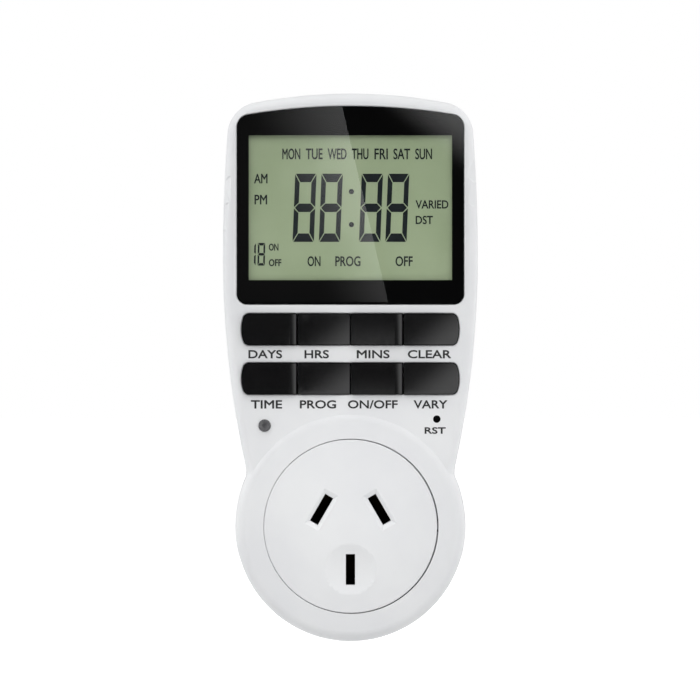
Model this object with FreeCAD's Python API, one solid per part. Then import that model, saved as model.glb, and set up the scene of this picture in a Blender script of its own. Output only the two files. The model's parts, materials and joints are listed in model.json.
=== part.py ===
# A plug-in digital timer switch for three-flat-pin mains outlets, built as it comes apart on a bench.
# Millimetres. +Z is up, +X is to the right of someone facing the display, and +Y points into the wall.
# The origin is the centre of the pin pattern on the flat back face that meets the wall outlet.
import FreeCAD
import Part
import math
import os

os.makedirs("parts", exist_ok=True)

# Case
body_depth = 42.0            # wall face to the socket's front face
socket_rise = 0.5            # how far the socket's front face stands in front of the key panel
parting_to_wall = 20.0       # wall face to the line where the two shells meet
upper_back_step = 6.0        # how far the upper back stands off the wall
round_radius = 27.8          # lower round base, concentric with the socket
round_draft = 0.4
round_overlap = 0.4          # how far the panel body's lower end lies inside the round base
round_edge_width = 2.6       # width of the edge where the round base's front rolls over into its side
round_edge_depth = 2.2
top_height = 103.3           # socket axis to the top edge
half_width = 30.85           # at the widest point
widest_height = 64.0
shoulder_height = 95.0
shoulder_narrowing = 1.2     # half width lost from the widest point up to that height
waist_height = 22.0
waist_narrowing = 3.78       # half width lost from the widest point down to that height
top_arc_radius = 124.0
top_corner_radius = 8.5
waist_radius = 9.0
wall = 2.0
front_draft = 0.6
back_draft = 0.8
front_edge_round = 2.2
back_edge_round = 2.0
seam_groove = 0.3
opening_bevel = 0.2          # on the panel's edge around the window and the keys
lip_thickness = 0.9
lip_height = 1.5
lip_clearance = 0.1

# Snap tongues at the top edge
snap_place = 14.0            # from the middle to each tongue
snap_width = 6.0
snap_length = 5.0
snap_thickness = 1.0
snap_sink = 3.7              # top edge to the tongue's upper face
snap_barb = 1.2
snap_barb_length = 1.6
snap_clearance = 0.2

# Socket face
insert_radius = 20.6
insert_gap_left = 0.04       # the insert sits to one side of its hole
insert_gap_right = 0.3
insert_edge_round = 0.3
flange_overhang = 1.6
flange_thickness = 1.2
pin_centre_live = 7.92       # from the pattern's centre to a live or neutral pin
pin_centre_earth = 10.31
pin_angle = 30.0             # lean of the live and neutral blades
blade_width = 6.35
blade_thickness = 1.6
slot_clearance_long = 1.0
slot_clearance_short = 0.6
slot_lead_side = 0.8
slot_lead_end = 1.1
slot_lead_depth = 0.6
dish_radius = 6.4
dish_depth = 1.1

# Display
window_side_border = 3.75    # case's widest point to the window's side
window_top_border = 3.5      # case's top edge to the window's top
window_bottom = 52.45
window_arc_radius = 150.0
window_top_corner = 3.2
window_low_corner = 2.6
window_fit = 0.12
window_sink = 0.25
window_thickness = 1.5
mask_thickness = 0.15
ledge_thickness = 1.2
ledge_width = 1.1
view_side_border = 2.95      # window's side to the visible display
view_top_border = 7.0
view_low_border = 5.95
lcd_side = 1.0               # glass beyond the view at each side
lcd_end = 1.7                # glass beyond the view at top and bottom
lcd_ledge = 1.4              # width of the glass edge that the contact strips press on
lcd_front_glass = 1.1
lcd_back_glass = 1.1
lcd_frame_wall = 0.9
lcd_frame_corner = 2.6
lcd_frame_lip = 0.4
lcd_lip_reach = 0.5
lcd_nose_wall = 0.5          # the frame's front part reaches through the case's ledge to the window
lcd_nose_corner = 0.9
strip_margin = 2.0           # glass left free at each end of a contact strip
stack_gap = 0.1

# Keys
key_side_border = 5.15       # case's widest point to the end of a row of keys
key_end_extra = 0.6          # how much wider the first and last keys of a row are than the others
key_row_height = 7.2
key_columns = 4
key_gap = 0.4
key_fit = 0.2
key_end_radius = 9.0
key_corner = 1.2
key_proud = 0.9
key_travel = 1.0
key_ridge_round = 0.8        # rounded right-hand edge of the first and third keys
key_bow_radius = 115.0       # second and fourth keys fall away to the right on this radius
key_flange_reach = 0.7
key_flange_thickness = 0.9
key_stem_radius = 2.0
key_row_heights = {"upper": 46.7, "lower": 35.0}
key_names = {
    "upper": ("day_key", "hour_key", "minute_key", "clear_key"),
    "lower": ("clock_key", "program_key", "mode_key", "random_key"),
}

# Keypad mat
mat_thickness = 1.2
mat_margin = 0.7             # mat above and below the keys
mat_side_margin = 0.9        # how far a row of keys reaches past the mat
dome_spare = 0.6             # dome's height beyond the key's travel
dome_base_radius = 3.4
dome_top_radius = 2.2
dome_wall = 0.5

# Lamp and reset
lamp_side_border = 10.5      # case's widest point to the lamp
lamp_height = 23.85
lamp_radius = 1.4
lamp_tip_round = 1.0
lamp_proud = 0.9
lamp_flange = 0.45
lamp_length = 5.3            # tip to the back of the flange
lamp_fit = 0.08
lead_size = 0.5
lead_pitch = 2.0
reset_side_border = 10.35    # case's widest point to the reset hole
reset_height = 25.4
reset_hole_radius = 0.9
reset_pin_radius = 0.7
reset_tip_round = 0.4
reset_stem_radius = 1.6
reset_travel = 0.3
reset_recess = 1.2           # panel face to the tip of the button
reset_collar = 1.6           # panel's inner face to the wide part of the stem
reset_case_side = 6.0
reset_case_height = 3.5
reset_case_wall = 0.6

# Boards
board_thickness = 1.6
board_stand_off = 6.0        # panel's inner face to the control board
board_edge_gap = 0.5         # board's edge to the case's inner wall
control_bottom = 21.2
control_top_border = 6.3     # case's top edge to the board's top edge
power_bottom = 23.0
power_top_border = 11.3
power_stand_off = 2.4
screw_radius = 1.1
screw_head_radius = 2.0
screw_head_height = 1.2
screw_length = 4.0           # under the head
screw_clearance = 0.1
cross_length = 0.62          # of the head's radius
cross_width = 0.3            # of the shank's radius
boss_radius = 1.9
control_low_screw = (12.0, 25.9)
control_high_screw_border = 5.6
control_high_screw_height = 53.3
power_low_screw_border = 10.6
power_low_screw_height = 27.4
power_high_screw_border = 10.0
power_high_screw_drop = 17.3     # below the case's top edge
base_screw_border = 5.4      # round base's edge to the socket base's screws
carrier_screw = (12.5, -5.0)
carrier_grip = 1.6           # carrier under its screws' heads

# Case screws
case_screw_border = 5.2      # round base's edge to the case screws
case_screw_angles = (45.0, 135.0, 230.0, 310.0)
case_screw_radius = 1.45
case_screw_head_radius = 2.5
case_screw_head_height = 1.8
case_screw_grip = 11.0       # thread length in the front boss
case_boss_radius = 2.5
case_post_radius = 3.5
case_post_length = 6.0       # post left in front of the counterbore
counterbore_clearance = 0.25

# Plug
plug_wall = 3.0
carrier_thickness = 4.0
live_pin_length = 17.1
earth_pin_length = 20.0
pin_tip = 0.45
pin_fit = 0.05
sleeve_length = 8.7
sleeve_skin = 0.35
pin_head_thickness = 1.6
pin_head_length = 9.0
pin_head_width = 4.6
pin_bar_reach = 5.5          # how far the live and neutral heads run out sideways for their wires

# Socket inside
post_gap = 0.5               # case posts to the socket base and the pin carrier
wire_room = 5.4              # socket base to the power board, for the wires
base_wall = 1.6
base_floor = 2.0
ear_width = 4.8
chamber_length = 7.8
chamber_width = 6.4
chamber_wall = 1.3
contact_sheet = 0.6
contact_length = 6.0
contact_throat = 1.5
contact_mouth = 3.2
contact_root = 2.6
contact_inset = 7.0
contact_throat_depth = 4.0
tail_width = 4.0
tail_length = 3.2            # behind the socket base
tail_fit = 0.1
link_thickness = 0.8
link_foot = 3.2
flange_notch_play = 0.3

# Wires
wire_radius = 1.2
wire_gap = 0.2
wire_bend = 3.0
wire_pad_height = 28.6       # where the wires meet the power board
wire_reach = 3.8             # from the pin to its wire

# Relay
relay_place = (11.2, 41.0)
relay_size = (19.2, 15.6, 15.0)
relay_wall = 0.8
relay_edge_round = 0.4
relay_base_thickness = 2.0
relay_fit = 0.1
coil_offset = -2.5
coil_radius = 4.3
coil_flange_radius = 4.9
coil_flange_thickness = 0.9
core_radius = 2.0
core_top = 11.4              # board to the core's face
iron_thickness = 1.2
iron_width = 9.0
yoke_offset = 5.4            # relay's middle to the outer face of the yoke
armature_length = 14.0
armature_thickness = 1.0
armature_edge_round = 0.3
armature_gap = 0.5
armature_clearance = 0.2     # yoke's end to the armature
relay_post_width = 4.0
relay_post_thickness = 0.8
relay_contact_gap = 0.8

# Other parts on the boards
film_capacitor_place = (-10.6, 40.0)
film_capacitor_size = (18.0, 8.0, 12.0)
film_capacitor_edge_round = 0.5
can_place = (-13.5, 58.0)
can_radius = 5.0
can_height = 14.0
can_edge_round = 0.8
varistor_place = (-1.5, 58.0)
varistor_radius = 5.0
varistor_thickness = 4.0
varistor_edge_round = 1.0
resistor_place = (-11.0, 70.0)
resistor_radius = 1.8
resistor_length = 9.0
diode_radius = 1.3
diode_length = 5.0
diode_places = ((10.0, 56.0), (17.0, 56.0), (10.0, 61.0), (17.0, 61.0))
transistor_place = (14.0, 68.0)
transistor_radius = 2.3
transistor_height = 5.0
seat_gap = 0.2
chip_place = (0.0, 58.0)
chip_size = (10.0, 10.0, 1.6)
chip_bevel = 0.3
crystal_place = (14.0, 60.0)
crystal_radius = 1.0
crystal_length = 6.0
battery_drop = 15.0          # control board's top edge to the cell's middle
battery_radius = 7.8
battery_height = 5.4
battery_edge_round = 0.6
battery_tab_width = 3.0
battery_tab_thickness = 0.3
ribbon_place = 50.6
ribbon_width = 10.0
ribbon_thickness = 1.0
ribbon_bulge = 4.0
ribbon_bend = 2.0

v = FreeCAD.Vector
along_y = v(0, 1, 0)


def pair(x, z):
    """The same place on the left and on the right."""
    return ((-x, z), (x, z))


# Widths and heights that follow the case
insert_hole_radius = insert_radius + (insert_gap_left + insert_gap_right) / 2
insert_hole_place = ((insert_gap_right - insert_gap_left) / 2, 0)
insert_hole_reach = insert_radius + insert_gap_right
window_half_width = half_width - window_side_border
window_top = top_height - window_top_border
view_width = 2 * (window_half_width - view_side_border)
view_height = window_top - window_bottom - view_top_border - view_low_border
view_centre = window_bottom + view_low_border + view_height / 2
key_row_width = 2 * (half_width - key_side_border)
mat_half_width = key_row_width / 2 - mat_side_margin
dome_height = key_travel + dome_spare
lamp_place = (lamp_side_border - half_width, lamp_height)
reset_place = (half_width - reset_side_border, reset_height)
control_top = top_height - control_top_border
power_top = top_height - power_top_border
battery_place = (0.0, control_top - battery_drop)
control_screw_places = (
    *pair(*control_low_screw),
    *pair(half_width - control_high_screw_border, control_high_screw_height),
)
power_screw_places = (
    *pair(half_width - power_low_screw_border, power_low_screw_height),
    *pair(half_width - power_high_screw_border, top_height - power_high_screw_drop),
)
base_screw_places = pair(round_radius - base_screw_border, 0.0)
carrier_screw_places = pair(*carrier_screw)
case_screw_circle = round_radius - case_screw_border
base_radius = case_screw_circle - case_post_radius - post_gap

# Levels along Y, from front to back
face_y = -body_depth
panel_y = face_y + socket_rise
panel_inner_y = panel_y + wall
parting_y = -parting_to_wall
back_y = -upper_back_step
back_inner_y = back_y - wall
control_front_y = panel_inner_y + board_stand_off
control_back_y = control_front_y + board_thickness
power_back_y = back_inner_y - power_stand_off
power_front_y = power_back_y - board_thickness
mat_front_y = control_front_y - mat_thickness
window_front_y = panel_y + window_sink
window_back_y = window_front_y + window_thickness
mask_back_y = window_back_y + mask_thickness
ledge_back_y = mask_back_y + ledge_thickness
flange_front_y = panel_inner_y
flange_back_y = flange_front_y + flange_thickness
base_back_y = power_front_y - wire_room
carrier_front_y = -plug_wall - carrier_thickness
carrier_seat_y = -plug_wall - carrier_grip
head_front_y = carrier_front_y - pin_head_thickness


def box(x0, x1, y0, y1, z0, z1):
    return Part.makeBox(x1 - x0, y1 - y0, z1 - z0, v(x0, y0, z0))


def disc(place, radius, y0, y1):
    return Part.makeCylinder(radius, y1 - y0, v(place[0], y0, place[1]), along_y)


def cone(place, radius0, radius1, y0, y1):
    return Part.makeCone(radius0, radius1, y1 - y0, v(place[0], y0, place[1]), along_y)


def fuse(first, *others):
    return first.multiFuse(list(others)).removeSplitter()


def cut(first, *others):
    return first.cut(list(others))


def arc(p, q, r):
    """Arc from p to r through q, in the X-Z plane."""
    return Part.Arc(*[v(a[0], 0, a[1]) for a in (p, q, r)]).toShape()


def line(p, q):
    return Part.makeLine(v(p[0], 0, p[1]), v(q[0], 0, q[1]))


def meet(c0, r0, c1, r1, side):
    """Where two circles in the X-Z plane cross, on the left (1) or right (-1) of the line c0 to c1."""
    dx, dz = c1[0] - c0[0], c1[1] - c0[1]
    d = math.hypot(dx, dz)
    a = (d * d + r0 * r0 - r1 * r1) / (2 * d)
    h = math.sqrt(r0 * r0 - a * a) * side
    return (c0[0] + (a * dx - h * dz) / d, c0[1] + (a * dz + h * dx) / d)


def towards(c, p, radius):
    """The point at radius from c, in the direction of p."""
    d = math.hypot(p[0] - c[0], p[1] - c[1])
    return (c[0] + (p[0] - c[0]) * radius / d, c[1] + (p[1] - c[1]) * radius / d)


def arc_about(c, radius, p, q):
    """The short arc of a circle about c, from p to q."""
    middle = ((p[0] + q[0]) / 2, (p[1] + q[1]) / 2)
    return arc(p, towards(c, middle, radius), q)


def mirrored(p):
    return (-p[0], p[1])


def side_radius(height, narrowing):
    """Radius of a side that starts at the widest point and is drawn in by narrowing at that height."""
    return ((height - widest_height) ** 2 + narrowing**2) / (2 * narrowing)


def outline(inset):
    """The case's outline in the X-Z plane, drawn in by inset all round."""
    high = side_radius(shoulder_height, shoulder_narrowing)
    low = side_radius(waist_height, waist_narrowing)
    top_c, top_r = (0, top_height - top_arc_radius), top_arc_radius - inset
    high_c, high_r = (half_width - high, widest_height), high - inset
    low_c, low_r = (half_width - low, widest_height), low - inset
    round_r = round_radius - round_overlap - inset
    corner_r, waist_r = top_corner_radius - inset, waist_radius + inset
    corner_c = meet(top_c, top_r - corner_r, high_c, high_r - corner_r, -1)
    waist_c = meet(low_c, low_r + waist_r, (0, 0), round_r + waist_r, 1)
    corner_top = towards(top_c, corner_c, top_r)
    corner_side = towards(high_c, corner_c, high_r)
    widest = (half_width - inset, widest_height)
    waist_top = towards(low_c, waist_c, low_r)
    waist_low = towards((0, 0), waist_c, round_r)
    right = [
        arc_about(corner_c, corner_r, corner_top, corner_side),
        arc_about(high_c, high_r, corner_side, widest),
        arc_about(low_c, low_r, widest, waist_top),
        arc_about(waist_c, waist_r, waist_top, waist_low),
    ]
    left = [
        arc_about(mirrored(waist_c), waist_r, mirrored(waist_low), mirrored(waist_top)),
        arc_about(mirrored(low_c), low_r, mirrored(waist_top), mirrored(widest)),
        arc_about(mirrored(high_c), high_r, mirrored(widest), mirrored(corner_side)),
        arc_about(mirrored(corner_c), corner_r, mirrored(corner_side), mirrored(corner_top)),
    ]
    bottom = arc(waist_low, (0, -round_r), mirrored(waist_low))
    top = arc(mirrored(corner_top), (0, top_height - inset), corner_top)
    return Part.Wire([*right, bottom, *left, top])


def placed(wire, y):
    copy = wire.copy()
    copy.translate(v(0, y, 0))
    return copy


def prism(wire, y0, y1):
    return Part.Face(placed(wire, y0)).extrude(v(0, y1 - y0, 0))


def ring(inset0, inset1, y0, y1):
    """The band between two outlines."""
    return cut(prism(outline(inset0), y0, y1), prism(outline(inset1), y0, y1))


def drafted(inset0, y0, inset1, y1):
    """A solid between two outlines at different depths."""
    return Part.makeLoft([placed(outline(inset0), y0), placed(outline(inset1), y1)], True, True)


def edges_at(shape, y, inside=None):
    """Edges of shape that lie in the plane at depth y, and where inside is given, that pass that test."""
    found = []
    for edge in shape.Edges:
        bounds = edge.BoundBox
        if abs(bounds.YMin - y) < 0.001 and abs(bounds.YMax - y) < 0.001:
            if inside is None or inside(edge):
                found.append(edge)
    return found


def rounded_rectangle(cx, cz, width, height, radius):
    x0, x1, z0, z1 = cx - width / 2, cx + width / 2, cz - height / 2, cz + height / 2
    k = radius * (1 - math.sqrt(0.5))
    return Part.Wire(
        [
            line((x0 + radius, z0), (x1 - radius, z0)),
            arc((x1 - radius, z0), (x1 - k, z0 + k), (x1, z0 + radius)),
            line((x1, z0 + radius), (x1, z1 - radius)),
            arc((x1, z1 - radius), (x1 - k, z1 - k), (x1 - radius, z1)),
            line((x1 - radius, z1), (x0 + radius, z1)),
            arc((x0 + radius, z1), (x0 + k, z1 - k), (x0, z1 - radius)),
            line((x0, z1 - radius), (x0, z0 + radius)),
            arc((x0, z0 + radius), (x0 + k, z0 + k), (x0 + radius, z0)),
        ]
    )


def on_circle(radius, degrees):
    return (radius * math.cos(math.radians(degrees)), radius * math.sin(math.radians(degrees)))


case_screw_places = [on_circle(case_screw_circle, a) for a in case_screw_angles]
live_place = on_circle(pin_centre_live, 150)
neutral_place = on_circle(pin_centre_live, 30)
earth_place = (0.0, -pin_centre_earth)
# Each blade: its place and the angle of its wide side from the vertical, clockwise seen from the front
blades = {
    "live": (live_place, pin_angle),
    "neutral": (neutral_place, -pin_angle),
    "earth": (earth_place, 0.0),
}


def at_blade(shape, name):
    """Moves a shape made about the Y axis, with its wide side along Z, to a blade's place and lean."""
    place, lean = blades[name]
    copy = shape.copy()
    copy.rotate(v(0, 0, 0), along_y, lean)
    copy.translate(v(place[0], 0, place[1]))
    return copy


def blade_box(name, thickness, width, y0, y1):
    return at_blade(box(-thickness / 2, thickness / 2, y0, y1, -width / 2, width / 2), name)


def pin_hole(name, y0, y1):
    return blade_box(name, blade_thickness + 2 * pin_fit, blade_width + 2 * pin_fit, y0, y1)


def window_outline(inset):
    """The display window: an arched top, straight sides and a straight bottom."""
    x, low, top = window_half_width - inset, window_bottom + inset, window_top - inset
    top_c, top_r = (0, window_top - window_arc_radius), window_arc_radius - inset
    corner, low_corner = window_top_corner - inset, window_low_corner - inset
    centre_x = x - corner
    corner_c = (centre_x, top_c[1] + math.sqrt((top_r - corner) ** 2 - centre_x**2))
    corner_top = towards(top_c, corner_c, top_r)
    corner_side = (x, corner_c[1])
    low_c = (x - low_corner, low + low_corner)
    side_end, low_end = (x, low_c[1]), (low_c[0], low)
    return Part.Wire(
        [
            arc(mirrored(corner_top), (0, top), corner_top),
            arc_about(corner_c, corner, corner_top, corner_side),
            line(corner_side, side_end),
            arc_about(low_c, low_corner, side_end, low_end),
            line(low_end, mirrored(low_end)),
            arc_about(mirrored(low_c), low_corner, mirrored(low_end), mirrored(side_end)),
            line(mirrored(side_end), mirrored(corner_side)),
            arc_about(mirrored(corner_c), corner, mirrored(corner_side), mirrored(corner_top)),
        ]
    )


def key_row_outline(inset, height):
    """One row of keys: straight long sides and gently bulged ends."""
    top = key_row_height / 2 - inset
    end_r, corner = key_end_radius - inset, key_corner - inset
    end_c = (key_row_width / 2 - key_end_radius, 0)
    corner_c = (end_c[0] + math.sqrt((end_r - corner) ** 2 - (top - corner) ** 2), top - corner)
    corner_top = (corner_c[0], top)
    corner_end = towards(end_c, corner_c, end_r)

    def flip(p):
        return (p[0], -p[1])

    low_c, low_end, low_bottom = flip(corner_c), flip(corner_end), flip(corner_top)
    wire = Part.Wire(
        [
            arc_about(corner_c, corner, corner_top, corner_end),
            arc(corner_end, (key_row_width / 2 - inset, 0), low_end),
            arc_about(low_c, corner, low_end, low_bottom),
            line(low_bottom, mirrored(low_bottom)),
            arc_about(mirrored(low_c), corner, mirrored(low_bottom), mirrored(low_end)),
            arc(mirrored(low_end), (-key_row_width / 2 + inset, 0), mirrored(corner_end)),
            arc_about(mirrored(corner_c), corner, mirrored(corner_end), mirrored(corner_top)),
            line(mirrored(corner_top), corner_top),
        ]
    )
    wire.translate(v(0, 0, height))
    return wire


key_pitch = (key_row_width - 2 * key_end_extra) / key_columns
key_centres = [key_pitch * (i - (key_columns - 1) / 2) for i in range(key_columns)]
key_places = {}
for row, names in key_names.items():
    for x, name in zip(key_centres, names):
        key_places[name] = (x, key_row_heights[row])
key_front_y = panel_y - key_proud
key_flange_y = panel_inner_y + stack_gap
key_stem_end_y = mat_front_y - dome_height


def screw_hole(place, y0, y1):
    return disc(place, screw_radius + screw_clearance, y0, y1)


def ellipse_quarter(radius0, y0, radius1, y1):
    """A quarter of an ellipse, from the face at (radius0, y0) to the side at (radius1, y1)."""
    curve = Part.Ellipse(v(radius0, y1, 0), radius1 - radius0, y1 - y0)
    return Part.ArcOfEllipse(curve, 1.5 * math.pi, 2 * math.pi).toShape()


def round_front():
    """The round base's front: flat, with an edge that rolls over into its side."""
    side = round_radius - round_draft
    flat = side - round_edge_width
    shoulder_y = face_y + round_edge_depth
    points = [v(side, shoulder_y, 0), v(round_radius, parting_y, 0), v(0, parting_y, 0), v(0, face_y, 0)]
    edges = [Part.makeLine(a, b) for a, b in zip(points, points[1:] + [v(flat, face_y, 0)])]
    wire = Part.Wire([ellipse_quarter(flat, face_y, side, shoulder_y), *edges])
    return Part.Face(wire).revolve(v(0, 0, 0), along_y, 360)


def bevel_cut(front, back):
    """Takes the panel's sharp edge off an opening, given its outline in front and behind."""
    return Part.makeLoft([placed(front, panel_y), placed(back, panel_y + opening_bevel)], True, True)


def front_cavity():
    cavity = drafted(front_draft + wall, panel_inner_y, wall, parting_y)
    rebate = wall - lip_thickness - lip_clearance
    groove = prism(outline(rebate), parting_y - lip_height - lip_clearance, parting_y)
    return cavity, groove


def snap_box(x, reach, play):
    """A tongue's barb, reaching above the tongue, and its pocket when given some play."""
    low = top_height - snap_sink - play
    tip_y = parting_y - snap_length
    half = snap_width / 2 + play
    return box(x - half, x + half, tip_y - play, tip_y + snap_barb_length + play, low, low + reach + 2 * play)


def front_housing():
    shell = drafted(front_draft, panel_y, 0, parting_y)
    shell = shell.makeFillet(front_edge_round, edges_at(shell, panel_y))
    shell = fuse(shell, round_front())
    cavity, groove = front_cavity()
    shell = cut(shell, cavity, groove)
    inside = drafted(front_draft + wall / 2, panel_inner_y - wall / 2, wall / 2, parting_y)
    rim = prism(window_outline(-ledge_width), panel_inner_y - wall / 2, ledge_back_y).common(inside)
    bosses = [disc(p, case_boss_radius, panel_inner_y - wall / 2, parting_y) for p in case_screw_places]
    for place in (*control_screw_places, *base_screw_places):
        bosses.append(disc(place, boss_radius, panel_inner_y - wall / 2, control_front_y))
    shell = fuse(shell, rim, *bosses)
    cuts = [
        prism(window_outline(0), face_y, mask_back_y),
        prism(window_outline(ledge_width), face_y, ledge_back_y + stack_gap),
        disc(insert_hole_place, insert_hole_radius, face_y - socket_rise, panel_inner_y),
        disc(lamp_place, lamp_radius + lamp_fit, face_y, panel_inner_y),
        disc(reset_place, reset_hole_radius, face_y, panel_inner_y),
    ]
    cuts.append(bevel_cut(window_outline(-opening_bevel), window_outline(0)))
    for height in key_row_heights.values():
        edge = key_row_outline(-key_fit, height)
        cuts.append(prism(edge, face_y, panel_inner_y))
        cuts.append(bevel_cut(key_row_outline(-key_fit - opening_bevel, height), edge))
    thread_end_y = parting_y - case_screw_grip - wall
    for place in case_screw_places:
        cuts.append(disc(place, case_screw_radius + screw_clearance, thread_end_y, parting_y))
    for place in (*control_screw_places, *base_screw_places):
        cuts.append(screw_hole(place, control_back_y - screw_length - stack_gap, control_front_y))
    for x in (-snap_place, snap_place):
        cuts.append(snap_box(x, snap_barb, snap_clearance))
    return cut(shell, *cuts)


def round_back(inset, y1, edge_round):
    """The round base's back part, or its inside when drawn in by inset."""
    solid = cone((0, 0), round_radius - inset, round_radius - round_draft - inset, parting_y, y1)
    if edge_round:
        solid = solid.makeFillet(edge_round, edges_at(solid, y1))
    return solid


def snap_tongue(x):
    top = top_height - snap_sink
    half = snap_width / 2
    tip_y = parting_y - snap_length
    root_y = parting_y + snap_length
    tongue = box(x - half, x + half, tip_y, root_y, top - snap_thickness, top)
    root = box(x - half, x + half, parting_y + stack_gap, root_y, top - snap_thickness, top + wall)
    return fuse(tongue, root, snap_box(x, snap_barb, 0))


def rear_housing():
    shell = drafted(0, parting_y, back_draft, back_y)
    shell = shell.makeFillet(back_edge_round, edges_at(shell, back_y))
    shell = fuse(shell, round_back(0, 0, back_edge_round))
    cavity = drafted(wall, parting_y, wall + back_draft, back_inner_y)
    tub = round_back(wall + round_overlap, -plug_wall, 0)
    shell = cut(shell, cavity, tub)
    posts = [disc(p, case_post_radius, parting_y, -plug_wall / 2) for p in case_screw_places]
    posts += [disc(p, boss_radius, power_back_y, back_inner_y + wall / 2) for p in power_screw_places]
    shell = fuse(shell, *posts)
    lip = ring(wall - lip_thickness, wall, parting_y - lip_height, parting_y + wall / 2)
    shell = fuse(shell, lip, *[snap_tongue(x) for x in (-snap_place, snap_place)])
    cuts = []
    bore = case_screw_head_radius + counterbore_clearance
    for place in case_screw_places:
        cuts.append(disc(place, bore, parting_y + case_post_length, 0))
        cuts.append(disc(place, case_screw_radius + screw_clearance, parting_y - lip_height, 0))
        cuts.append(disc(place, case_boss_radius + lip_clearance, parting_y - lip_height, parting_y))
    for place in power_screw_places:
        cuts.append(screw_hole(place, power_back_y, power_front_y + screw_length + stack_gap))
    for place in carrier_screw_places:
        cuts.append(screw_hole(place, -plug_wall, carrier_seat_y + screw_length + stack_gap))
    cuts += [pin_hole(name, -plug_wall, 0) for name in blades]
    groove = ring(-wall, seam_groove + round_overlap, parting_y, parting_y + seam_groove)
    cuts.append(cut(groove, disc((0, 0), round_radius - seam_groove, parting_y, parting_y + seam_groove)))
    return cut(shell, *cuts)


def headed_screw(place, head_y, radius, head_radius, head_height, length):
    """A screw whose head stands behind head_y and whose shank runs forward, with a cross recess."""
    shank = disc(place, radius, head_y - length, head_y)
    head = disc(place, head_radius, head_y, head_y + head_height)
    x, z = place
    long, short = head_radius * cross_length, radius * cross_width
    floor_y = head_y + head_height / 2
    cross = [
        box(x - long, x + long, floor_y, head_y + head_height, z - short, z + short),
        box(x - short, x + short, floor_y, head_y + head_height, z - long, z + long),
    ]
    return cut(fuse(shank, head), *cross)


def case_screws():
    head_y = parting_y + case_post_length
    length = case_post_length + case_screw_grip
    size = (case_screw_radius, case_screw_head_radius, case_screw_head_height, length)
    return Part.Compound([headed_screw(p, head_y, *size) for p in case_screw_places])


def board_screws():
    """Screws of one size, put in from behind at the front and from the front at the back."""
    size = (screw_radius, screw_head_radius, screw_head_height, screw_length)
    solids = [headed_screw(p, control_back_y, *size) for p in (*control_screw_places, *base_screw_places)]
    for places, head_y in ((power_screw_places, power_front_y), (carrier_screw_places, carrier_seat_y)):
        for place in places:
            screw = headed_screw(place, 0, *size)
            screw.rotate(v(place[0], 0, place[1]), v(0, 0, 1), 180)
            screw.translate(v(0, head_y, 0))
            solids.append(screw)
    return Part.Compound(solids)


def display_window():
    lens = prism(window_outline(window_fit), window_front_y, window_back_y)
    return lens.makeFillet(window_fit, edges_at(lens, window_front_y))


def view_cut(margin, y0, y1):
    half_x, half_z = view_width / 2 + margin, view_height / 2 + margin
    return box(-half_x, half_x, y0, y1, view_centre - half_z, view_centre + half_z)


def window_mask():
    film = prism(window_outline(window_fit), window_back_y, mask_back_y)
    return cut(film, view_cut(0, window_back_y, mask_back_y))


lcd_width = view_width + 2 * lcd_side
lcd_height = view_height + 2 * lcd_end
lcd_front_y = mask_back_y + stack_gap + lcd_frame_lip + stack_gap
lcd_mid_y = lcd_front_y + lcd_front_glass


def lcd_cell():
    """Two glass plates: the front one stands past the back one along its contact edges."""
    x, z, low = lcd_width / 2, lcd_height / 2, lcd_height / 2 - lcd_ledge
    front = box(-x, x, lcd_front_y, lcd_mid_y, view_centre - z, view_centre + z)
    back = box(-x, x, lcd_mid_y, lcd_mid_y + lcd_back_glass, view_centre - low, view_centre + low)
    return fuse(front, back)


def lcd_frame():
    width = lcd_width + 2 * stack_gap
    height = lcd_height + 2 * stack_gap
    solids = []
    for wall_size, corner, start in (
        (lcd_frame_wall, lcd_frame_corner, ledge_back_y + stack_gap),
        (lcd_nose_wall, lcd_nose_corner, mask_back_y + stack_gap),
    ):
        outer = rounded_rectangle(0, view_centre, width + 2 * wall_size, height + 2 * wall_size, corner)
        solids.append(prism(outer, start, control_front_y))
    frame = fuse(*solids)
    x, z = width / 2, height / 2
    pocket = box(-x, x, lcd_front_y - stack_gap, control_front_y, view_centre - z, view_centre + z)
    x, z = lcd_width / 2 - lcd_lip_reach, lcd_height / 2 - lcd_lip_reach
    sight = box(-x, x, mask_back_y, lcd_front_y, view_centre - z, view_centre + z)
    return cut(frame, pocket, sight)


def contact_strips():
    x = lcd_width / 2 - strip_margin
    strips = []
    for side in (-1, 1):
        edge = view_centre + side * lcd_height / 2
        inner = edge - side * (lcd_ledge - stack_gap)
        strips.append(box(-x, x, lcd_mid_y, control_front_y, min(edge, inner), max(edge, inner)))
    return Part.Compound(strips)


def key_column(row, column):
    """The part of a row of keys that one key takes, with half a gap at each neighbour."""
    centre, reach, end = key_centres[column], (key_pitch - key_gap) / 2, key_row_width / 2 + key_fit
    x0 = centre - reach if column else -end
    x1 = centre + reach if column < key_columns - 1 else end
    z, half = key_row_heights[row], key_row_height / 2
    return x0, x1, z - half, z + half


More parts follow.
